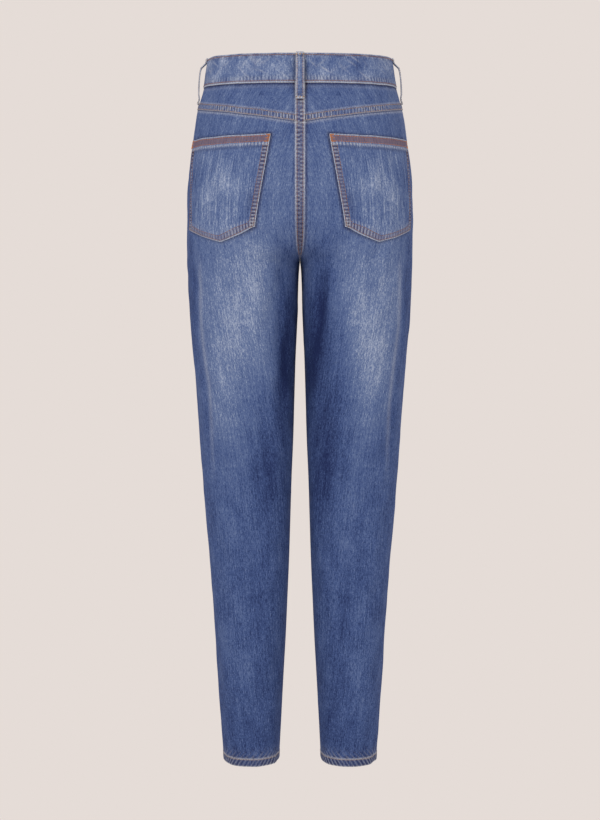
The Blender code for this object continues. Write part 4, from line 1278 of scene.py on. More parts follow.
def make_front_leg(context, side):
    z, around = front_leg_grid(side)
    out, into = front_leg_lifts(side, z, around)
    outer, inner = cloth(side, z, around, out), cloth(side, z, around, into)
    own = z < FLY_END_Z if side == "left" else np.full(z.shape, True)
    outer[own] = keep_to_side(side, outer[own])
    inner[own] = keep_to_side(side, inner[own])
    materials = denim_pair(context, "leg denim look", streaks=0.42, clouds=0.30)
    wear_and_shade = front_leg_wear_and_shade(side, z, around)
    piece = sew_wall(f"front_leg_cloth_{side}", outer, inner, (around, z), wear_and_shade, materials)
    sew_on(piece, f"front_leg_{side}", cloth(side, z, around))


def pocket_grid():
    """Levels and distances around of a back pocket, and each place's distances from its four edges."""
    across = np.concatenate([[0, 0.004, 0.010], np.linspace(0.018, 0.982, 104), [0.990, 0.996, 1]])
    down = np.concatenate([[0, 0.004, 0.009], np.linspace(0.016, 0.984, 102), [0.991, 0.996, 1]])
    share, part = np.meshgrid(across, down)
    top, low = pocket_mouth(share), pocket_low(share)
    z = top + (low - top) * part
    outer, inner = pocket_edges(z)
    around = outer + (inner - outer) * share
    slant = np.where(share < 0.5, 0.974, 0.962)
    edges = {
        "mouth": top - z,
        "low": (z - low) * slant,
        "outer": around - outer,
        "inner": inner - around,
    }
    return z, around, share, edges


def pocket_lifts(z, around, share, edges):
    """(outer, inner) lifts: the folded hem, rolled edges, puckers between the rows and a mouth that gapes."""
    hem = POCKET_HEM_RAISE * step_up(edges["mouth"], POCKET_HEM)
    nearest = np.minimum.reduce([edges["low"], edges["outer"], edges["inner"]])
    fold = step_up(nearest, 0.0086, 0.0020)
    bow = POCKET_MOUTH_BOW * np.sin(math.pi * share) * soft_step(1 - edges["mouth"] / 0.012)
    from_side = np.minimum(edges["inner"], edges["outer"])
    along_side = puckers(z, *POCKET_SIDE_PUCKERS) * bump_line(from_side - 0.0046, 0.0032)
    along_low = puckers(around, *POCKET_LOW_PUCKERS) * bump_line(edges["low"] - 0.0046, 0.0032)
    along_top = puckers(around, *POCKET_MOUTH_PUCKERS) * bump_line(edges["mouth"] - 0.0130, 0.0030)
    rows = sum(bump_line(nearest - row, 0.0009) for row in POCKET_SIDE_ROWS)
    rows = rows + sum(bump_line(edges["mouth"] - row, 0.0009) for row in POCKET_HEM_ROWS)
    roll = bump_line(np.minimum(nearest, edges["mouth"]), 0.0009)
    middle = 0.0006 * np.sin(math.pi * share) * np.sin(math.pi * np.clip(edges["mouth"] / 0.14, 0, 1))
    outer = SEAM_GAP + DENIM + hem + bow + middle + 0.00035 * fold - 0.00018 * rows - 0.00055 * roll
    outer = outer + 0.00022 * (along_side + along_low + along_top)
    return outer, SEAM_GAP + bow + middle


def pocket_wear(side, z, around, share, edges):
    wear_and_shade = plain_wear_and_shade("back", side, z, around)
    middle = bump_line(share - 0.52, 0.30) * bump_line(edges["mouth"] - 0.078, 0.052)
    wear_and_shade["fade"] = 0.49 + 0.26 * middle + 0.5 * (wear_and_shade["fade"] - 0.5)
    mouth, low, outer, inner = (edges[key] for key in ("mouth", "low", "outer", "inner"))
    below_hem = soft_step((mouth - POCKET_HEM) / 0.002)
    top_pull = puckers(around, *POCKET_MOUTH_PUCKERS)
    between = soft_step((mouth - 0.0014) / 0.001) * soft_step((POCKET_HEM_ROWS[1] + 0.0006 - mouth) / 0.001)
    wear_and_shade["rub"] += bump_line(mouth - 0.0003, 0.0010) * (0.72 + 0.22 * top_pull)
    wear_and_shade["stain"] += between * 0.78
    wear_and_shade["dye"] += between * np.maximum(top_pull, 0) * 0.32
    wear_and_shade["rub"] += bump_line(mouth - 0.0130, 0.0017) * (0.40 + 0.45 * top_pull)
    wear_and_shade["dye"] += bump_line(mouth - 0.0165, 0.0022) * 0.30
    side_pull = puckers(z, *POCKET_SIDE_PUCKERS)
    inner_band = soft_step((inner - 0.0009) / 0.0008) * soft_step((0.0082 - inner) / 0.0014) * below_hem
    outer_band = soft_step((outer - 0.0009) / 0.0008) * soft_step((0.0082 - outer) / 0.0014) * below_hem
    wear_and_shade["rub"] += bump_line(inner, 0.0009) * 0.85
    wear_and_shade["rub"] += bump_line(outer, 0.0009) * 0.55
    wear_and_shade["dye"] += inner_band * 0.16
    add_bars(wear_and_shade, inner_band, side_pull, 0.62, 0.55)
    wear_and_shade["stain"] += inner_band * 0.25
    wear_and_shade["dye"] += outer_band * 0.12
    add_bars(wear_and_shade, outer_band, side_pull, 0.55, 0.40)
    low_pull = puckers(around, *POCKET_LOW_PUCKERS)
    low_band = soft_step((low - 0.0009) / 0.0008) * soft_step((0.0082 - low) / 0.0014)
    wear_and_shade["rub"] += bump_line(low, 0.0009) * 0.85
    add_bars(wear_and_shade, low_band, low_pull, 0.70, 0.50)
    wear_and_shade["stain"] += low_band * 0.30
    wear_and_shade["rub"] += bump_line(low - 0.0105, 0.0022) * np.maximum(-low_pull, 0) * 0.50
    wear_and_shade["dye"] += bump_line(outer - 0.004, 0.006) * bump_line(mouth - 0.020, 0.007) * 0.55
    wear_and_shade["dye"] += bump_line(inner - 0.012, 0.005) * bump_line(mouth - 0.088, 0.022) * 0.22
    return wear_and_shade


def make_pocket(context, side):
    z, around, share, edges = pocket_grid()
    out, into = pocket_lifts(z, around, share, edges)
    outer, inner = cloth(side, z, around, out), cloth(side, z, around, into)
    materials = denim_pair(context, "pocket denim look", streaks=0.85, clouds=0.40)
    wear_and_shade = pocket_wear(side, z, around, share, edges)
    piece = sew_wall(f"back_pocket_cloth_{side}", outer, inner, (around, z), wear_and_shade, materials)
    sew_on(piece, f"back_pocket_{side}", cloth(side, z, around))


def make_facing(context, side):
    """The piece that shows in the front pocket's mouth and runs a little way under the front."""
    scoop = BAND_BOTTOM - SCOOP_DEPTH * np.sin(np.linspace(0.0, math.pi / 2, 30)[1:])
    z = np.array([BAND_BOTTOM - SEAM_GAP, *scoop, *np.linspace(scoop[-1], -0.104, 8)[1:]])
    far = SIDE_SEAM - SEAM_GAP / 2 - scoop_width(z) - FACING_UNDER
    start = SIDE_SEAM - SEAM_GAP / 2
    share = np.linspace(0, 1, 40)
    around = start + (far[:, None] - start) * share[None, :]
    z = np.repeat(z[:, None], len(share), axis=1)
    under = -(DENIM + SEAM_GAP)
    outer, inner = cloth(side, z, around, under), cloth(side, z, around, under - DENIM)
    wear_and_shade = plain_wear_and_shade("front", side, z, around)
    to_mouth = -around - (scoop_width(z) - SIDE_SEAM)
    # Painted shadow where the front's edge overhangs the facing in the pocket's mouth.
    wear_and_shade["dye"] += bump_line(to_mouth, 0.0045) * 0.75
    wear_and_shade["fade"] -= 0.06
    materials = denim_pair(context, "leg denim look", streaks=0.42, clouds=0.30)
    piece = sew_wall(f"pocket_facing_cloth_{side}", outer, inner, (around, z), wear_and_shade, materials)
    sew_on(piece, f"pocket_facing_{side}", cloth(side, z, around))


def band_dive(place, length):
    """How far the waistband's right end goes in, at distances round it from the middle back."""
    return BAND_DIVE * soft_step((place - (length - BAND_DIVE_FROM)) / (BAND_DIVE_FROM - BAND_DIVE_TO))


def band_stations():
    """(side, distance from the middle back, dive) along the band, from its left end round the back."""
    length = float(back_middle(0.0) + front_middle(0.0))
    left_end, right_end = length + BAND_LEFT_END, length + BAND_RIGHT_UNDERLAP
    left = np.concatenate([[left_end, left_end - 0.0006], np.linspace(left_end - 0.0014, 0.0007, 300)])
    right = np.concatenate([np.linspace(0.0007, right_end - 0.0014, 318), [right_end - 0.0006, right_end]])
    dive = band_dive(right, length)
    stations = [("left", place, 0.0) for place in left]
    return stations + [("right", place, depth) for place, depth in zip(right, dive)]


def band_scratches(z, along):
    """Pale slanted pulls across the waistband, and long soft wrinkles, from 0 to 1."""
    draw = np.random.default_rng(SCRATCH_SEED)
    total = np.zeros(z.shape)
    for _ in range(SCRATCH_COUNT):
        middle, level = draw.uniform(-0.46, 0.45), draw.uniform(-0.012, 0.013)
        lean = math.radians(draw.uniform(38, 68)) * (1 if draw.random() < 0.8 else -1)
        length, width = draw.uniform(0.004, 0.011), draw.uniform(0.0007, 0.0013)
        strength = draw.uniform(0.3, 1.0)
        over, up = along - middle, z - level
        near = np.abs(over) < 4 * length
        run = over[near] * math.sin(lean) + up[near] * math.cos(lean)
        off = over[near] * math.cos(lean) - up[near] * math.sin(lean)
        total[near] += strength * np.exp(-((run / length) ** 2) - (off / width) ** 2)
    return total


def make_waistband(context):
    levels = np.concatenate(
        [
            [BAND_TOP, BAND_TOP - 0.0005],
            np.linspace(BAND_TOP - 0.0014, BAND_BOTTOM + 0.0014, 32),
            [BAND_BOTTOM + 0.0005, BAND_BOTTOM],
        ]
    )
    stations = band_stations()
    places = np.array([place if side == "left" else -place for side, place, _ in stations])
    z, along = np.meshgrid(levels, places, indexing="ij")
    scratch = band_scratches(z, along)
    to_top, to_low = BAND_TOP - z, z - BAND_BOTTOM
    pull = puckers(along, *BAND_PUCKERS)
    roll = BAND_EDGE_ROLL * bump_line(np.minimum(to_top, to_low), 0.0011)
    groove = bump_line(to_top - BAND_ROW, 0.0009) + bump_line(to_low - BAND_ROW, 0.0009)
    wrinkle = 0.00025 * np.sin(along * 61.0 + 90.0 * z) * np.sin(along * 23.0 + 1.0) * bump_line(z, 0.014)
    relief = wrinkle + 0.00018 * pull * bump_line(to_low - 0.0062, 0.0034)
    relief = relief + 0.00012 * scratch - 0.0002 * groove
    outer, inner = np.zeros((*z.shape, 3)), np.zeros((*z.shape, 3))
    cut = np.zeros((*z.shape, 3))
    stretch = (back_middle(levels) + front_middle(levels)) / (back_middle(0.0) + front_middle(0.0))
    for side, _ in SIDES:
        chosen = [column for column, station in enumerate(stations) if station[0] == side]
        place = np.abs(places[chosen])
        dive = np.array([stations[column][2] for column in chosen])
        around = back_middle(levels)[:, None] - place[None, :] * stretch[:, None]
        level = np.repeat(levels[:, None], len(chosen), axis=1)
        outer[:, chosen] = cloth(side, level, around, BAND_OUT - roll[:, chosen] + relief[:, chosen] - dive)
        inner[:, chosen] = cloth(side, level, around, -BAND_IN + roll[:, chosen] - dive)
        cut[:, chosen] = cloth(side, level, around, 0.0)
    # The fade rises and falls with the wrinkles: painted shade in their hollows and painted highlight on
    # their crests.
    wear_and_shade = {
        "fade": 0.58 + 0.10 * bump_line(along - 0.09, 0.10) + 0.25 * (wrinkle / 0.00025) * 0.4,
        "rub": bump_line(to_top, 0.0011) * (0.55 + 0.20 * pull) + 0.36 * scratch,
        "dye": bump_line(to_low - 0.0068, 0.0034) * np.maximum(pull, 0) * 0.55,
        "stain": (bump_line(to_top - BAND_ROW, 0.0013) + bump_line(to_low - BAND_ROW, 0.0013)) * 0.45,
        "seam": bump_line(to_top - BAND_ROW, 0.0030) * 0.5,
    }
    wear_and_shade["rub"] += bump_line(to_low - 0.0004, 0.0012) * (0.72 + 0.15 * pull)
    wear_and_shade["rub"] += bump_line(to_low - 0.0066, 0.0030) * np.maximum(-pull, 0) * 0.50
    wear_and_shade["dye"] += bump_line(to_top - 0.0052, 0.0016) * 0.14
    # Painted shadow on the band beside the back and side loops, which stand off it.
    loop_shadow_on_band = np.zeros(z.shape)
    side_loop = float(back_middle(0.0)) - SIDE_LOOP_AROUND
    for middle in (0.0, side_loop, -side_loop):
        loop_shadow_on_band += bump_line(np.abs(along - middle) - LOOP_HALF_WIDTH - 0.0016, 0.0022)
    wear_and_shade["dye"] += loop_shadow_on_band * 0.45
    materials = denim_pair(context, "waistband denim look", streaks=0.30, clouds=0.85)
    piece = sew_wall("waistband_cloth", outer, inner, (along, z), wear_and_shade, materials)
    sew_on(piece, "waistband", cut)


def loop_path(foot_lift, stand_off):
    """(z, lift) along a belt loop, from its head over the waistband to its foot."""
    foot = BAND_BOTTOM - LOOP_BELOW_BAND
    head_lift = BAND_OUT + SEAM_GAP + LOOP_THICK / 2
    foot_lift = foot_lift + SEAM_GAP + 0.0002 + LOOP_THICK / 2
    stand = stand_off + BAND_OUT + LOOP_THICK / 2
    path = np.array(
        [
            (BAND_TOP + 0.0010, head_lift),
            (BAND_TOP - 0.0060, head_lift + 0.0003),
            (BAND_TOP - 0.0100, (head_lift + stand) / 2),
            (BAND_TOP - 0.0150, stand),
            (0.0, stand + 0.0004),
            (BAND_BOTTOM + 0.0080, stand - 0.0002),
            (BAND_BOTTOM - 0.0020, stand * 0.82),
            (BAND_BOTTOM - 0.0090, (foot_lift + stand) / 2),
            (foot + 0.0070, foot_lift + 0.0003),
            (foot, foot_lift),
        ]
    )
    levels = np.linspace(path[0, 0], path[-1, 0], 64)
    lifts = smooth_curve(path[::-1, 0], path[::-1, 1], levels)
    return np.stack([levels, lifts], axis=1)


def side_loop_place(z):
    return np.full(np.shape(z), SIDE_LOOP_AROUND)


def front_loop_place(z):
    return FRONT_LOOP_FROM_MIDDLE - front_middle(z)


LOOPS = (
    ("back", "left", back_middle, SEAM_RAISE, LOOP_STAND),
    ("side_left", "left", side_loop_place, SEAM_RAISE, LOOP_STAND),
    ("side_right", "right", side_loop_place, SEAM_RAISE, LOOP_STAND),
    ("front_left", "left", front_loop_place, 0.0, FRONT_LOOP_STAND),
    ("front_right", "right", front_loop_place, 0.0, FRONT_LOOP_STAND),
)


def make_belt_loop(context, name, side, place, foot_lift, stand_off):
    """A folded strip, sewn down above and below the waistband's face, which stands off it between."""
    path = loop_path(foot_lift, stand_off)
    turn = np.gradient(path, axis=0)
    turn /= np.linalg.norm(turn, axis=1, keepdims=True)
    out = np.stack([turn[:, 1], -turn[:, 0]], axis=1)
    run = np.concatenate([[0], np.cumsum(np.linalg.norm(np.diff(path, axis=0), axis=1))])
    across = LOOP_HALF_WIDTH * np.array((-1, -0.93, -0.8, -0.6, -0.3, 0, 0.3, 0.6, 0.8, 0.93, 1))
    along, over = np.meshgrid(run, across, indexing="ij")
    from_edge = LOOP_HALF_WIDTH - np.abs(over)
    pull = puckers(along, *LOOP_PUCKERS)
    crown = -0.00035 * bump_line(from_edge, 0.0009) - 0.00016 * bump_line(np.abs(over) - LOOP_ROW, 0.0008)
    crown = crown + 0.00012 * pull * step_up(from_edge, 0.0030)
    grids = []
    for offset, extra in ((LOOP_THICK / 2, crown), (-LOOP_THICK / 2, 0.00035 * bump_line(from_edge, 0.0009))):
        shift = offset + extra
        level = path[:, :1] + out[:, :1] * shift
        lift = path[:, 1:] + out[:, 1:] * shift
        grids.append(cloth(side, level, place(level) + over, lift))
    to_end = np.minimum(along, run[-1] - along)
    wear_and_shade = {
        "fade": 0.62 + 0.06 * pull,
        "rub": bump_line(from_edge, 0.0010) * 0.80 + bump_line(to_end - 0.0012, 0.0016) * 0.75,
        "dye": bump_line(np.abs(over) - 0.0026, 0.0010) * np.maximum(pull, 0) * 0.45,
        "stain": bump_line(np.abs(over) - LOOP_ROW, 0.0010) * 0.35,
        "seam": np.full(along.shape, 0.30),
    }
    wear_and_shade["dye"] = wear_and_shade["dye"] + bump_line(to_end - 0.0055, 0.0016) * 0.40
    materials = denim_pair(context, "waistband denim look", streaks=0.30, clouds=0.85)
    piece = sew_wall(f"belt_loop_cloth_{name}", grids[0], grids[1], (over, along), wear_and_shade, materials)
    cut = np.stack([over, along, np.zeros(over.shape)], axis=-1)
    sew_on(piece, f"belt_loop_{name}", cut)


def zip_places(levels, across):
    """Levels and distances around for places given by their distance from the middle, plus to the left."""
    z = np.repeat(np.array(levels)[:, None], len(across), axis=1)
    return z, np.array(across)[None, :] - front_middle(z)


def make_zip_tape():
    """The zip's tape: flat under the right front's edge, then up to the underside of the left front."""
    bends = ((-0.011, 0), (-0.004, 0), (0.0102, 0), (0.0160, 1), (0.0280, 1))
    deep = -(FLY_DIVE + DENIM + SEAM_GAP + 0.00005)
    high = -(DENIM + SEAM_GAP + 0.00005)
    across = np.linspace(bends[0][0], bends[-1][0], 30)
    rise = np.interp(across, [place for place, _ in bends], [up for _, up in bends])
    lift = deep + (high - deep) * rise
    z, around = zip_places(np.linspace(ZIP_TOP_Z, ZIP_BOTTOM_Z, 60), across)
    outer = cloth("left", z, around, lift[None, :])
    inner = cloth("left", z, around, lift[None, :] - ZIP_TAPE)
    material = tape_cloth()
    piece = sew_wall("zip_tape_cloth", outer, inner, (around, z), {}, (material, material))
    sew_on(piece, "zip_tape", outer)


def stitch_input(tree, name, kind, **limits):
    socket = tree.interface.new_socket(name=name, in_out="INPUT", socket_type=kind)
    for key, value in limits.items():
        setattr(socket, key, value)
    return socket.identifier


def stitch_tree():
    """Geometry nodes that lay one rounded stitch on each point of resampled paths, turned along the path."""
    tree = bpy.data.node_groups.new("rows of stitches", "GeometryNodeTree")
    inputs = {"Paths": stitch_input(tree, "Paths", "NodeSocketGeometry")}
    for name, value in (("Pitch", 0.0033), ("Length", 0.0028), ("Width", 0.001), ("Thickness", 0.0007)):
        inputs[name] = stitch_input(tree, name, "NodeSocketFloat", default_value=value, min_value=0.0001)
    inputs["Unevenness"] = stitch_input(tree, "Unevenness", "NodeSocketFloat", default_value=0.12)
    inputs["Seed"] = stitch_input(tree, "Seed", "NodeSocketInt", default_value=5)
    inputs["Thread"] = stitch_input(tree, "Thread", "NodeSocketMaterial")
    tree.interface.new_socket(name="Stitches", in_out="OUTPUT", socket_type="NodeSocketGeometry")
    source = add_node(tree, "NodeGroupInput")
    sink = add_node(tree, "NodeGroupOutput")
    curves = add_node(tree, "GeometryNodeMeshToCurve")
    points = add_node(tree, "GeometryNodeResampleCurve", mode="LENGTH")
    ball = add_node(tree, "GeometryNodeMeshUVSphere")
    ball.inputs["Segments"].default_value = 6
    ball.inputs["Rings"].default_value = 4
    ball.inputs["Radius"].default_value = 0.5
    tangent = add_node(tree, "GeometryNodeInputTangent")
    outward = add_node(tree, "GeometryNodeInputNamedAttribute", data_type="FLOAT_VECTOR")
    outward.inputs["Name"].default_value = "outward"
    along = add_node(tree, "FunctionNodeAlignRotationToVector", axis="X")
    upright = add_node(tree, "FunctionNodeAlignRotationToVector", axis="Z", pivot_axis="X")
    size = add_node(tree, "ShaderNodeCombineXYZ")
    vary = add_node(tree, "FunctionNodeRandomValue", data_type="FLOAT")
    scale = add_node(tree, "ShaderNodeVectorMath", operation="SCALE")
    lowest = add_node(tree, "ShaderNodeMath", operation="SUBTRACT")
    lowest.inputs[0].default_value = 1.0
    place = add_node(tree, "GeometryNodeInstanceOnPoints")
    real = add_node(tree, "GeometryNodeRealizeInstances")
    smooth = add_node(tree, "GeometryNodeSetShadeSmooth")
    paint = add_node(tree, "GeometryNodeSetMaterial")
    joins = (
        (source.outputs["Paths"], curves.inputs["Mesh"]),
        (curves.outputs["Curve"], points.inputs["Curve"]),
        (source.outputs["Pitch"], points.inputs["Length"]),
        (points.outputs["Curve"], place.inputs["Points"]),
        (ball.outputs["Mesh"], place.inputs["Instance"]),
        (tangent.outputs["Tangent"], along.inputs["Vector"]),
        (along.outputs["Rotation"], upright.inputs["Rotation"]),
        (outward.outputs["Attribute"], upright.inputs["Vector"]),
        (upright.outputs["Rotation"], place.inputs["Rotation"]),
        (source.outputs["Length"], size.inputs["X"]),
        (source.outputs["Width"], size.inputs["Y"]),
        (source.outputs["Thickness"], size.inputs["Z"]),
        (source.outputs["Unevenness"], lowest.inputs[1]),
        (lowest.outputs[0], vary.inputs[2]),
        (source.outputs["Seed"], vary.inputs["Seed"]),
        (size.outputs[0], scale.inputs[0]),
        (vary.outputs[1], scale.inputs["Scale"]),
        (scale.outputs[0], place.inputs["Scale"]),
        (place.outputs["Instances"], real.inputs["Geometry"]),
        (real.outputs["Geometry"], smooth.inputs["Geometry"]),
        (smooth.outputs["Geometry"], paint.inputs["Geometry"]),
        (source.outputs["Thread"], paint.inputs["Material"]),
        (paint.outputs["Geometry"], sink.inputs["Stitches"]),
    )
    for start, end in joins:
        tree.links.new(start, end)
    return tree, inputs


def stitch_row(side, z, around, lift):
    """(points, outward) of one row's path on the cloth."""
    path = cloth(side, z, around, lift)
    out = cloth(side, z, around, np.asarray(lift) + 0.002) - path
    return path, out / np.linalg.norm(out, axis=-1, keepdims=True)


def sew_rows(context, name, rows, material, pitch=None, length=None, width=None):
    """Runs the stitch nodes on the rows' paths and keeps the plain mesh."""
    sewing = context.scene.jeans_sewing
    tree = bpy.data.node_groups.get("rows of stitches")
    inputs = json.loads(tree["inputs"])
    points = np.concatenate([path for path, _ in rows])
    outward = np.concatenate([out for _, out in rows])
    edges, first = [], 0
    for path, _ in rows:
        count = len(path)
        edges += [(first + i, first + i + 1) for i in range(count - 1)]
        first += count
    mesh = bpy.data.meshes.new(name + "_paths")
    mesh.from_pydata(points, edges, [])
    turned = mesh.attributes.new("outward", "FLOAT_VECTOR", "POINT")
    turned.data.foreach_set("vector", outward.astype(np.float32).ravel())
    paths = link_piece(name, mesh)
    modifier = paths.modifiers.new("stitches", "NODES")
    modifier.node_group = tree
    modifier[inputs["Pitch"]] = pitch or sewing.pitch
    modifier[inputs["Length"]] = length or sewing.length
    modifier[inputs["Width"]] = width or sewing.width
    modifier[inputs["Thickness"]] = sewing.thickness
    modifier[inputs["Unevenness"]] = STITCH_UNEVENNESS
    modifier[inputs["Seed"]] = STITCH_SEED
    modifier[inputs["Thread"]] = material
    paths.update_tag()
    graph = context.evaluated_depsgraph_get()
    graph.update()
    made = bpy.data.meshes.new_from_object(paths.evaluated_get(graph))
    made.name = name
    paths.modifiers.clear()
    paths.data = made
    bpy.data.meshes.remove(mesh)
    if not made.polygons:
        raise RuntimeError(f"{name} has no stitches")
    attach(paths, BODY)
    return paths


def along_band(row_z):
    """Paths of one row round the waistband, a path for each half."""
    rows = []
    length = float(back_middle(0.0) + front_middle(0.0))
    stretch = (back_middle(row_z) + front_middle(row_z)) / length
    for side, end in (("left", length + BAND_LEFT_END - 0.003), ("right", length - 0.004)):
        place = np.arange(0.002, end, 0.004)
        dive = band_dive(place, length) if side == "right" else 0.0
        around = back_middle(row_z) - place * stretch
        rows.append(stitch_row(side, np.full(place.shape, row_z), around, BAND_OUT + 0.00005 - dive))
    return rows


def along_yoke(side):
    rows = []
    for row in YOKE_ROWS:
        share = np.linspace(0.004, 0.973, 70)
        z = yoke_line(share) + row
        around = SIDE_SEAM + (back_middle(z) - SIDE_SEAM) * share
        rows.append(stitch_row(side, z, around, SEAM_RAISE + 0.00005))
    return rows


def along_seat(side):
    z = np.linspace(BAND_BOTTOM - 0.002, CROTCH_Z + 0.012, 60)
    around = back_middle(z) - SEAT_ROW
    return [stitch_row(side, z, around, seat_lift(z, around) + 0.00022)]


def pocket_path(share, part):
    """Levels and distances around of places in the pocket, given as shares across and down."""
    top, low = pocket_mouth(share), pocket_low(share)
    z = top + (low - top) * part
    outer, inner = pocket_edges(z)
    return z, outer + (inner - outer) * share


def along_pocket_hem(side):
    rows = []
    for row in POCKET_HEM_ROWS:
        share = np.linspace(0.012, 0.988, 42)
        z, around = pocket_path(share, 0.0)
        z = z - row
        outer, inner = pocket_edges(z)
        around = outer + (inner - outer) * share
        bow = POCKET_MOUTH_BOW * np.sin(math.pi * share) * soft_step(1 - row / 0.012)
        rows.append(stitch_row(side, z, around, SEAM_GAP + DENIM + POCKET_HEM_RAISE + bow + 0.00005))
    return rows


def along_pocket_edge(side):
    """The two rows down one side of the pocket, along its point and up the other side."""
    rows = []
    for row in POCKET_SIDE_ROWS:
        levels = {
            "outer": np.linspace(POCKET_TOP_OUTER_Z - 0.013, POCKET_LOW_OUTER_Z + row * 1.1, 34),
            "inner": np.linspace(POCKET_LOW_INNER_Z + row * 1.1, POCKET_TOP_INNER_Z - 0.013, 34),
        }
        share = np.linspace(row / 0.140, 1 - row / 0.118, 36)[1:-1]
        low_z = pocket_low(share) + row * 1.05
        outer, inner = pocket_edges(low_z)
        low_around = outer + (inner - outer) * share
        z = np.concatenate([levels["outer"], low_z, levels["inner"]])
        around = np.concatenate(
            [
                pocket_edges(levels["outer"])[0] + row,
                low_around,
                pocket_edges(levels["inner"])[1] - row,
            ]
        )
        rows.append(stitch_row(side, z, around, SEAM_GAP + DENIM + 0.00045))
    return rows


def along_hem(side):
    z = HEM_Z + HEM_ROW
    around = np.arange(-float(front_length(z)) + 0.002, float(back_length(z)) - 0.001, 0.004)
    return [stitch_row(side, np.full(around.shape, z), around, HEM_OUT - 0.00005)]


def along_scoop(side):
    rows = []
    for row in SCOOP_ROWS:
        turn = np.linspace(0.03, math.pi / 2 - 0.02, 36)
        z = BAND_BOTTOM - (SCOOP_DEPTH + row) * np.sin(turn)
        around = SIDE_SEAM - (SCOOP_WIDTH + row) * np.cos(turn)
        rows.append(stitch_row(side, z, around, -0.00005))
    return rows


def along_fly():
    """The fly's two rows on the left front: straight down, then curved in to the middle."""
    rows = []
    for row in FLY_ROWS:
        straight = np.linspace(BAND_BOTTOM - 0.002, FLY_STRAIGHT_Z + 0.020, 30)
        turn = np.linspace(0, math.pi / 2 - 0.1, 22)[1:]
        drop = FLY_STRAIGHT_Z + 0.020 - FLY_END_Z + (row - FLY_ROWS[0])
        curve_z = FLY_STRAIGHT_Z + 0.020 - drop * np.sin(turn)
        z = np.concatenate([straight, curve_z])
        from_middle = np.concatenate([np.full(len(straight), row), row * np.cos(turn)])
        rows.append(stitch_row("left", z, from_middle - front_middle(z), 0.00005))
    return rows


def along_loops():
    rows = []
    for _, side, place, foot_lift, stand_off in LOOPS:
        path = loop_path(foot_lift, stand_off)[3:-3]
        for over in (-LOOP_ROW, LOOP_ROW):
            around = place(path[:, 0]) + over
            rows.append(stitch_row(side, path[:, 0], around, path[:, 1] + LOOP_THICK / 2 - 0.0001))
    return rows


def bar_tack(side, z, around, lift, width, height, count):
    """A block of close short threads, each laid up the block: paths one behind another across it."""
    rows = []
    for share in np.linspace(-0.5, 0.5, count):
        levels = z + np.linspace(-0.5, 0.5, 3) * height
        over = np.full(3, around + share * width)
        rows.append(stitch_row(side, levels, over, lift))
    return rows


def pocket_tacks(side):
    """Bar tacks at the two ends of the pocket's mouth."""
    rows = []
    for share, inward in ((0.0, 1), (1.0, -1)):
        z, around = pocket_path(np.array(share), 0.0)
        level = float(z) - 0.0062
        outer, inner = pocket_edges(np.array(level))
        edge = float(outer if share == 0.0 else inner)
        lift = SEAM_GAP + DENIM + POCKET_HEM_RAISE + 0.0001
        rows += bar_tack(side, level, edge + inward * 0.0036, lift, 0.0048, 0.0090, 7)
    return rows


def loop_tacks():
    """Bar tacks across each loop's head and foot."""
    rows = []
    for _, side, place, foot_lift, stand_off in LOOPS:
        path = loop_path(foot_lift, stand_off)
        for station in (3, -3):
            z, lift = path[station]
            middle = float(place(np.array(z)))
            for step in (-0.0008, 0.0, 0.0008):
                over = np.linspace(-0.82, 0.82, 6) * LOOP_HALF_WIDTH
                levels = np.full(over.shape, z + step)
                rows.append(stitch_row(side, levels, middle + over, lift + LOOP_THICK / 2 + 0.0001))
    return rows


def along_zip():
    """The path of the zip's closed teeth, down the middle of its tape."""
    z = np.linspace(ZIP_TOP_Z - 0.003, ZIP_BOTTOM_Z + 0.004, 50)
    lift = -(FLY_DIVE + DENIM + SEAM_GAP) + 0.0004
    return [stitch_row("left", z, 0.0048 - front_middle(z), np.full(z.shape, lift))]


def revolve(profile, steps):
    """(points, faces) of a closed turned form. The profile runs from its axis round to its axis again."""
    ring = [(r, h) for r, h in profile[1:-1]]
    points = [(0.0, 0.0, profile[0][1])]
    for radius, height in ring:
        for step in range(steps):
            angle = 2 * math.pi * step / steps
            points.append((radius * math.cos(angle), radius * math.sin(angle), height))
    points.append((0.0, 0.0, profile[-1][1]))
    faces = [(0, 1 + s, 1 + (s + 1) % steps) for s in range(steps)]
    for level in range(len(ring) - 1):
        base = 1 + level * steps
        for s in range(steps):
            after = (s + 1) % steps
            faces.append((base + s, base + steps + s, base + steps + after, base + after))
    base, last = 1 + (len(ring) - 1) * steps, len(points) - 1
    faces += [(last, base + (s + 1) % steps, base + s) for s in range(steps)]
    return np.array(points), faces


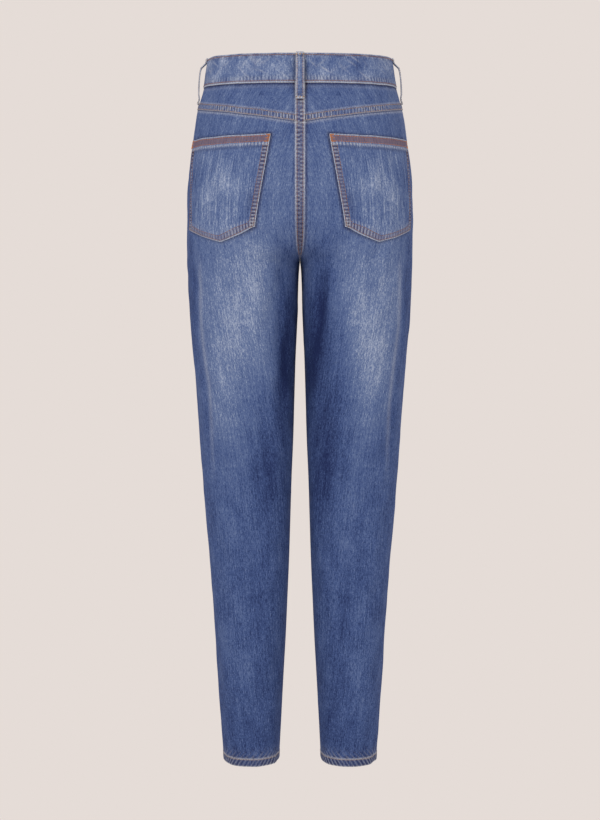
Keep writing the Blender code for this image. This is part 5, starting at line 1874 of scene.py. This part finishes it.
def make_button(metal):
    """A plain shank button: a rolled rim, a shallow groove round a raised face, and a short foot."""
    corners = (
        (0.0, 0.78), (0.20, 0.78), (0.42, 0.80), (0.50, 0.86), (0.56, 0.80), (0.64, 0.84), (0.72, 0.94),
        (0.82, 1.00), (0.92, 0.98), (0.98, 0.88), (1.00, 0.74), (0.98, 0.60), (0.90, 0.52), (0.62, 0.44),
        (0.54, 0.36), (0.52, 0.05), (0.48, 0.0), (0.0, 0.0),
    )
    profile = [(BUTTON_RADIUS * r, BUTTON_HEIGHT * h) for r, h in corners]
    points, faces = revolve(profile, 48)
    around = BUTTON_X - float(front_middle(0.0))
    foot = cloth("left", 0.0, around, BAND_OUT + SEAM_GAP + 0.0001)
    out = cloth("left", 0.0, around, BAND_OUT + 1.0) - foot
    out /= np.linalg.norm(out)
    across = np.cross((0.0, 0.0, 1.0), out)
    across /= np.linalg.norm(across)
    up = np.cross(out, across)
    placed = foot + points[:, :1] * across + points[:, 1:2] * up + points[:, 2:] * out
    mesh = bpy.data.meshes.new("button_metal")
    mesh.from_pydata(placed, [], faces)
    mesh.materials.append(metal)
    mesh.polygons.foreach_set("use_smooth", np.ones(len(faces), bool))
    mesh.set_sharp_from_angle(angle=math.radians(55))
    piece = link_piece("button_metal", mesh)
    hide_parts("waist_button")
    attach(piece, BODY)


class JEANS_OT_waistband(bpy.types.Operator):
    """Makes the waistband and the belt loops"""

    bl_idname = "jeans.waistband"
    bl_label = "Waistband and loops"

    def execute(self, context):
        make_waistband(context)
        for name, side, place, foot_lift, stand_off in LOOPS:
            make_belt_loop(context, name, side, place, foot_lift, stand_off)
        return {"FINISHED"}


class JEANS_OT_seat(bpy.types.Operator):
    """Makes the two back yokes"""

    bl_idname = "jeans.seat"
    bl_label = "Back yokes"

    def execute(self, context):
        for side, _ in SIDES:
            make_yoke(context, side)
        return {"FINISHED"}


class JEANS_OT_back_legs(bpy.types.Operator):
    """Makes the back of each leg"""

    bl_idname = "jeans.back_legs"
    bl_label = "Back legs"

    def execute(self, context):
        for side, _ in SIDES:
            make_back_leg(context, side)
        return {"FINISHED"}


class JEANS_OT_front_legs(bpy.types.Operator):
    """Makes the front of each leg, and the facings that show in the front pockets"""

    bl_idname = "jeans.front_legs"
    bl_label = "Front legs"

    def execute(self, context):
        for side, _ in SIDES:
            make_front_leg(context, side)
            make_facing(context, side)
        return {"FINISHED"}


class JEANS_OT_back_pockets(bpy.types.Operator):
    """Makes the patch pockets on the back"""

    bl_idname = "jeans.back_pockets"
    bl_label = "Back pockets"

    def execute(self, context):
        for side, _ in SIDES:
            make_pocket(context, side)
        return {"FINISHED"}


class JEANS_OT_fastenings(bpy.types.Operator):
    """Makes the zip's tape and teeth and the button, and finishes the zip's slider"""

    bl_idname = "jeans.fastenings"
    bl_label = "Zip and button"

    def execute(self, context):
        metal = aged_metal()
        make_zip_tape()
        make_button(metal)
        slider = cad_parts["zip_slider"]
        slider.data.materials.clear()
        slider.data.materials.append(metal)
        teeth = along_zip()
        sew_rows(context, "zip_teeth", teeth, metal, TOOTH_PITCH, TOOTH_LENGTH, TOOTH_WIDTH)
        return {"FINISHED"}


class JEANS_OT_stitching(bpy.types.Operator):
    """Sews every row of stitches and the bar tacks"""

    bl_idname = "jeans.stitching"
    bl_label = "Stitching"

    def execute(self, context):
        sewing = context.scene.jeans_sewing
        brown = thread("brown thread", tuple(sewing.brown))
        orange = thread("orange thread", tuple(sewing.orange))
        sand = thread("sand thread", tuple(sewing.sand))
        rows = {"brown": [], "orange": [], "sand": [], "tacks": []}
        for row_z in (BAND_TOP - BAND_ROW, BAND_BOTTOM + BAND_ROW):
            rows["brown"] += along_band(row_z)
        for side, _ in SIDES:
            rows["sand"] += along_yoke(side) + along_hem(side)
            rows["brown"] += along_seat(side) + along_pocket_edge(side) + along_scoop(side)
            rows["orange"] += along_pocket_hem(side)
            rows["tacks"] += pocket_tacks(side)
        rows["brown"] += along_fly()
        rows["sand"] += along_loops() + loop_tacks()
        sew_rows(context, "stitches_brown", rows["brown"], brown)
        sew_rows(context, "stitches_orange", rows["orange"], orange)
        sew_rows(context, "stitches_sand", rows["sand"], sand)
        tacks = rows["tacks"]
        sew_rows(context, "bar_tacks", tacks, orange, TACK_PITCH, TACK_LENGTH, TACK_WIDTH)
        return {"FINISHED"}


def add_lamp(name, place, target, size, power, shade):
    lamp = bpy.data.lights.new(name, "AREA")
    lamp.shape = "DISK"
    lamp.size = size
    lamp.energy = power
    lamp.color = shade
    made = bpy.data.objects.new(name, lamp)
    aim = np.array(target) - np.array(place)
    made.location = place
    made.rotation_euler = (
        math.atan2(math.hypot(aim[0], aim[1]), -aim[2]),
        0.0,
        math.atan2(aim[0], -aim[1]) + math.pi,
    )
    bpy.context.scene.collection.objects.link(made)


def add_backdrop(shade):
    world = bpy.context.scene.world or bpy.data.worlds.new("studio")
    bpy.context.scene.world = world
    world.use_nodes = True
    tree = world.node_tree
    tree.nodes.clear()
    background = add_node(tree, "ShaderNodeBackground")
    background.inputs["Color"].default_value = (*shade, 1.0)
    background.inputs["Strength"].default_value = 1.0
    output = add_node(tree, "ShaderNodeOutputWorld")
    tree.links.new(background.outputs[0], output.inputs["Surface"])


def add_floor(drop, radius):
    """A plain pale disc, far enough down to stay out of the main view."""
    steps = 96
    angle = np.linspace(0, 2 * math.pi, steps, endpoint=False)
    points = np.stack([radius * np.cos(angle), radius * np.sin(angle), np.full(steps, -drop)], axis=1)
    mesh = bpy.data.meshes.new("studio_floor")
    mesh.from_pydata(points, [], [tuple(range(steps))])
    made, tree = start_material("floor paint")
    shade = blend_colour(tree, object_noise(tree, 1.5), (0.80, 0.79, 0.78), (0.84, 0.83, 0.82))
    shader = principled(tree, 0.9, 0.1)
    feed(tree, shader.inputs["Base Color"], shade)
    mesh.materials.append(made)
    link_piece("studio_floor", mesh)


class JEANS_OT_stage(bpy.types.Operator):
    """Adds the camera, the soft lamps, the plain surroundings and the floor"""

    bl_idname = "jeans.stage"
    bl_label = "Studio"

    def execute(self, context):
        studio = context.scene.jeans_studio
        camera = bpy.data.cameras.new("view from behind")
        camera.sensor_width = 36.0
        camera.lens = studio.lens
        camera.dof.use_dof = False
        made = bpy.data.objects.new("view from behind", camera)
        made.location = (0.0, studio.distance, CAMERA_Z)
        made.rotation_euler = (math.radians(90 - CAMERA_TILT), 0.0, math.pi)
        context.scene.collection.objects.link(made)
        context.scene.camera = made
        context.scene.view_settings.view_transform = "Standard"
        add_backdrop(tuple(studio.backdrop))
        middle = (0.0, 0.0, -0.45)
        add_lamp("key", (1.5, 2.6, 0.9), middle, 1.6, studio.key_power, (1.0, 1.0, 1.0))
        add_lamp("fill", (-2.2, 2.0, 0.1), middle, 1.8, studio.key_power * 0.35, (0.97, 0.98, 1.0))
        add_lamp("front", (-1.2, -2.6, 0.8), middle, 1.6, studio.key_power * 0.8, (1.0, 1.0, 1.0))
        add_floor(studio.floor_drop, 2.5)
        return {"FINISHED"}


class JEANS_PT_panel(bpy.types.Panel):
    """Lists the pieces in the order that they are made"""

    bl_idname = "JEANS_PT_panel"
    bl_label = "Mom jeans"
    bl_space_type = "VIEW_3D"
    bl_region_type = "UI"
    bl_category = "Jeans"

    def draw(self, context):
        for group in ("jeans_wash", "jeans_sewing", "jeans_studio"):
            settings = getattr(context.scene, group)
            box = self.layout.box()
            for name in settings.__annotations__:
                box.prop(settings, name)
        for operator in STEPS:
            self.layout.operator(operator.bl_idname)


STEPS = (
    JEANS_OT_waistband,
    JEANS_OT_seat,
    JEANS_OT_back_legs,
    JEANS_OT_front_legs,
    JEANS_OT_back_pockets,
    JEANS_OT_fastenings,
    JEANS_OT_stitching,
    JEANS_OT_stage,
)
SETTINGS = (("jeans_wash", JeansWash), ("jeans_sewing", JeansSewing), ("jeans_studio", JeansStudio))


def register():
    for name, group in SETTINGS:
        bpy.utils.register_class(group)
        setattr(bpy.types.Scene, name, bpy.props.PointerProperty(type=group))
    for operator in STEPS:
        bpy.utils.register_class(operator)
    bpy.utils.register_class(JEANS_PT_panel)


def unregister():
    bpy.utils.unregister_class(JEANS_PT_panel)
    for operator in reversed(STEPS):
        bpy.utils.unregister_class(operator)
    for name, group in reversed(SETTINGS):
        delattr(bpy.types.Scene, name)
        bpy.utils.unregister_class(group)


def main():
    register()
    tree, inputs = stitch_tree()
    tree["inputs"] = json.dumps(inputs)
    bpy.ops.jeans.waistband()
    bpy.ops.jeans.seat()
    bpy.ops.jeans.back_legs()
    bpy.ops.jeans.front_legs()
    bpy.ops.jeans.back_pockets()
    bpy.ops.jeans.fastenings()
    bpy.ops.jeans.stitching()
    bpy.ops.jeans.stage()


if __name__ == "__main__":
    main()
